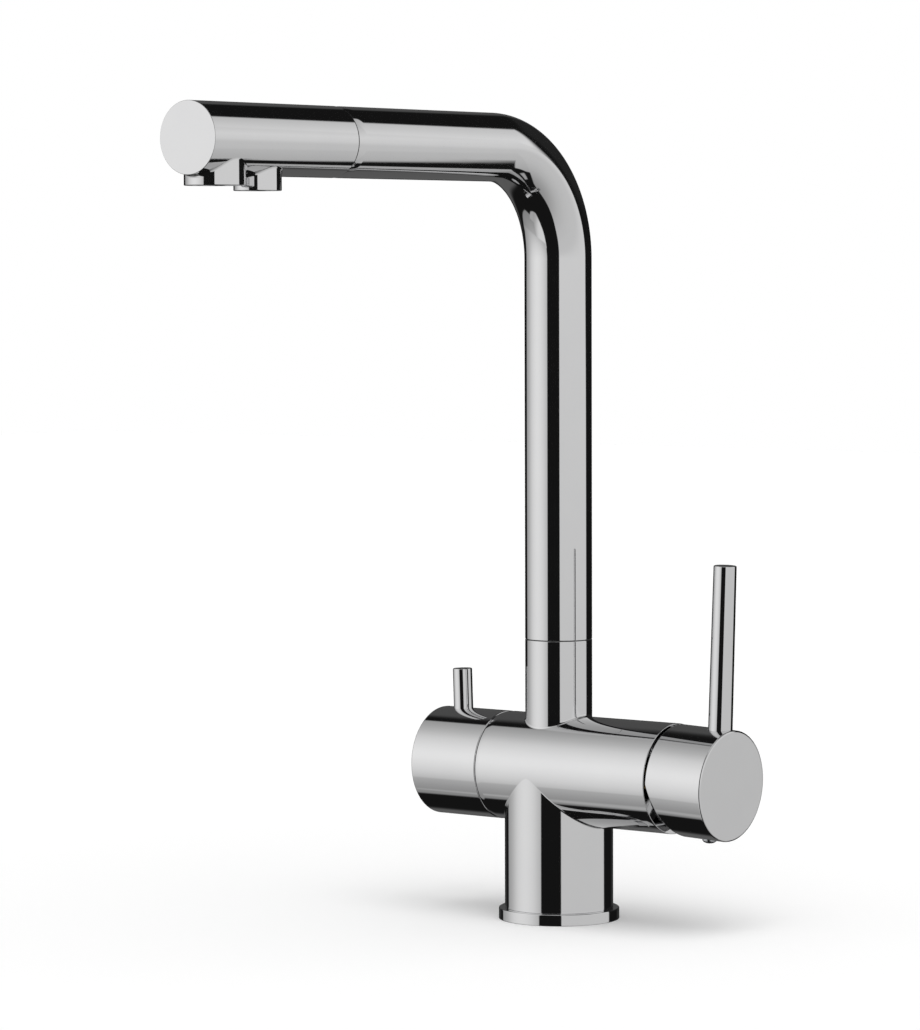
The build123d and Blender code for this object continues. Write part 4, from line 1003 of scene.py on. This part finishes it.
def pathRows(offset, radius, lowest, reach, steps, facingOut=True):
    # rows of a tube beside the spout's centre line, from a height on the column to a reach of the arm
    bend = spoutPath["bendRadius"] + offset
    bendFoot = armCentre.z - spoutPath["bendRadius"]
    stations = [(Vector((0, offset, lowest)), upward), (Vector((0, offset, (lowest + bendFoot) / 2)), upward)]
    for cut in range(spoutPath["bendSlices"] + 1):
        angle = radians(90) * cut / spoutPath["bendSlices"]
        centre = Vector((0, -spoutPath["bendRadius"] + bend * cos(angle), bendFoot + bend * sin(angle)))
        stations.append((centre, Vector((0, -sin(angle), cos(angle)))))
    stations.append((Vector((0, -reach, armCentre.z + offset)), toFront))
    sign = 1 if facingOut else -1
    return [
        [(centre + facing * radius, facing * sign) for facing in facingRound(way, toRight, steps)]
        for centre, way in stations
    ]


# The arm's end is rolled in a little, which bends the reflections where it meets the spray head
spoutTube = {
    "radius": 14.0, "bore": 12.5, "foot": 117.6, "reach": 145.6, "rounding": 0.2, "rollLength": 4.4,
    "rollDepth": 0.36, "steps": 160,
}


def makeSpoutTube(t):
    skin = startSkin()
    foot, radius, bore, rounding, steps = t["foot"], t["radius"], t["bore"], t["rounding"], t["steps"]
    reach, rollStart = t["reach"], t["reach"] - t["rollLength"]
    addGrid(skin, pathRows(0, radius, foot + rounding, rollStart, steps))
    addGrid(skin, pathRows(0, bore, foot, reach, steps, facingOut=False))
    strips = roundedOutline([(reach, radius - t["rollDepth"]), (reach, bore)])
    strips.append(rollStrip(rollStart, reach, radius, t["rollDepth"]))
    turnSkin(skin, armLine, strips, steps)
    turnOutline(skin, uprightLine, [
        (foot, bore), (foot, radius, rounding), (foot + rounding, radius),
    ], steps)
    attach(makePiece("spoutTube", skin, ["spout_tube"]), "spout")


makeSpoutTube(spoutTube)


# Thin black washer-shaped ring on the arm's end, put into the seam as painted shade so that the seam shows as
# a dark line
seamShadeRing = {"near": 145.62, "far": 145.92, "inner": 12.6, "outer": 13.8, "steps": 128}


def makeSeamShadeRing(w):
    skin = startSkin()
    turnOutline(skin, armLine, [
        (w["near"], w["inner"]), (w["near"], w["outer"]), (w["far"], w["outer"]), (w["far"], w["inner"]),
        (w["near"], w["inner"]),
    ], w["steps"])
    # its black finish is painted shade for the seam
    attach(makePiece("seamShadeRing", skin, [], "slip_ring_nylon"), "spout")


makeSeamShadeRing(seamShadeRing)


# Hoses: fixed up to the bend's far side, then a run each that draws out with the spray head
hoseRoute = {"foot": 10, "split": 46.0, "steps": 48}
waterHoses = {
    "mixedHose": {
        "node": "mixed_hose", "finish": "braided_hose", "offset": 4.6, "radius": 5.2, "bore": 3.6,
        "ferrule": 128.0,
    },
    "filteredHose": {
        "node": "filtered_hose", "finish": "filtered_water_tube", "offset": -6.2, "radius": 3.2, "bore": 2.0,
        "ferrule": 126.0,
    },
}


def makeHose(name, h):
    foot, split, steps = hoseRoute["foot"], hoseRoute["split"], hoseRoute["steps"]
    offset, radius, bore, ferrule = h["offset"], h["radius"], h["bore"], h["ferrule"]
    line = turningLine(armCentre + upward * offset, toFront, toRight)
    skin = startSkin()
    addGrid(skin, pathRows(offset, radius, foot, split, steps))
    addGrid(skin, pathRows(offset, bore, foot, split, steps, facingOut=False))
    column = turningLine(toBack * offset, upward, toRight)
    turnOutline(skin, column, [(foot, bore), (foot, radius)], steps)
    turnOutline(skin, line, [(split, radius), (split, bore)], steps)
    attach(makePiece(name, skin, [h["node"]], h["finish"]), "spout")
    # the run is ringed every millimetre, because drawing it out spaces the rings wider
    skin = startSkin()
    for size, sign in ((radius, 1), (bore, -1)):
        rows = []
        for ringNumber in range(int(ferrule - split) + 1):
            centre = line["start"] + toFront * (split + ringNumber)
            rows.append([
                (centre + facing * size, facing * sign) for facing in facingRound(toFront, toRight, steps)
            ])
        addGrid(skin, rows)
    for along, fromRadius, toRadius in ((split, bore, radius), (ferrule, radius, bore)):
        turnOutline(skin, line, [(along, fromRadius), (along, toRadius)], steps)
    run = makePiece(name + "Run", skin, [h["node"] + "_run"], h["finish"])
    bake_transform(run)


for name, hose in waterHoses.items():
    makeHose(name, hose)


# Spray head: a plain end to the arm, with two short outlets side by side under it. An outlet's bore stops
# short of the head's own bore, where the outlet's ring hides it.
sprayHead = {
    "radius": 14.0, "bore": 12.2, "back": 146.0, "tip": 230.0, "backRounding": 0.35, "tipRounding": 0.25,
    "tipWall": 2.5, "cornerRadius": 1.3, "outletRounding": 0.3, "outletBoreEdge": 0.15, "outletRoof": 12.3,
    "spacing": 2.5, "steps": 160,
}
outlets = {
    "mixedOutlet": {
        "reach": 214.8, "radius": 11.7, "bore": 10.6, "end": 17.8, "ringNode": "mixed_outlet_ring",
        "ringOuter": 10.5, "ringInner": 9.3, "ringLow": 303.9, "ringHigh": 312.4, "neckOuter": 7.95,
        "neckInner": 6.0, "neckHigh": 316.8, "sealRoof": 311.2,
    },
    "filteredOutlet": {
        "reach": 190.2, "radius": 9.25, "bore": 8.1, "end": 19.5, "ringNode": "filtered_outlet_ring",
        "ringOuter": 8.0, "ringInner": 6.7, "ringLow": 302.2, "ringHigh": 311.0, "neckOuter": 5.45,
        "neckInner": 3.5, "neckHigh": 313.0, "sealRoof": 309.8,
    },
}
outletRing = {"outerEdge": 0.25, "innerEdge": 0.35, "insideFrom": 0.5, "steps": 128}


def makeSprayHead(h):
    skin = startSkin()
    steps, radius, tip, back = h["steps"], h["radius"], h["tip"], h["back"]
    line = turningLine(armCentre, toFront, upward)
    tube = dict(line, radius=radius)
    joins = []
    for outlet in outlets.values():
        end, outletRadius, bore = outlet["end"], outlet["radius"], outlet["bore"]
        foot = armCentre + toFront * outlet["reach"]
        join = joinBranch(tube, foot, downward, outletRadius, steps, h["cornerRadius"])
        joins.append(join)
        rimStart = end - h["outletRounding"]
        addGrid(skin, [join["rows"][-1], [
            (foot + downward * rimStart + facing * outletRadius, facing)
            for facing in facingRound(downward, toFront, steps)
        ]])
        turnOutline(skin, turningLine(foot, downward, toFront), [
            (rimStart, outletRadius), (end, outletRadius, h["outletRounding"]),
            (end, bore, h["outletBoreEdge"]), (h["outletRoof"], bore), (h["outletRoof"], 0),
        ], steps)
    wrapTube(
        skin, tube, ringPoints(tube, back + h["backRounding"], steps),
        ringPoints(tube, tip - h["tipRounding"], steps), joins, h["spacing"],
    )
    closeTube(skin, tube, tip, h["tipRounding"], steps)
    turnOutline(skin, line, [
        (tip - h["tipWall"], 0), (tip - h["tipWall"], h["bore"]), (back, h["bore"]),
        (back, radius, h["backRounding"]), (back + h["backRounding"], radius),
    ], steps)
    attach(makePiece("sprayHead", skin, ["handset_shell"]), "spray_head")


def makeOutletRing(name, o, r):
    skin = startSkin()
    low, high, inner, outer = o["ringLow"], o["ringHigh"], o["ringInner"], o["ringOuter"]
    inside = low + r["insideFrom"]
    turnOutline(skin, turningLine(toFront * o["reach"], upward, toFront), [
        (inside, inner), (low, inner, r["innerEdge"]), (low, outer, r["outerEdge"]), (high, outer),
        (high, o["neckOuter"]), (o["neckHigh"], o["neckOuter"]), (o["neckHigh"], o["neckInner"]),
        (o["sealRoof"], o["neckInner"]), (o["sealRoof"], inner), (inside, inner),
    ], r["steps"])
    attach(makePiece(name + "Ring", skin, [o["ringNode"]], "satin_chrome"), "spray_head")


makeSprayHead(sprayHead)
for name, outlet in outlets.items():
    makeOutletRing(name, outlet, outletRing)
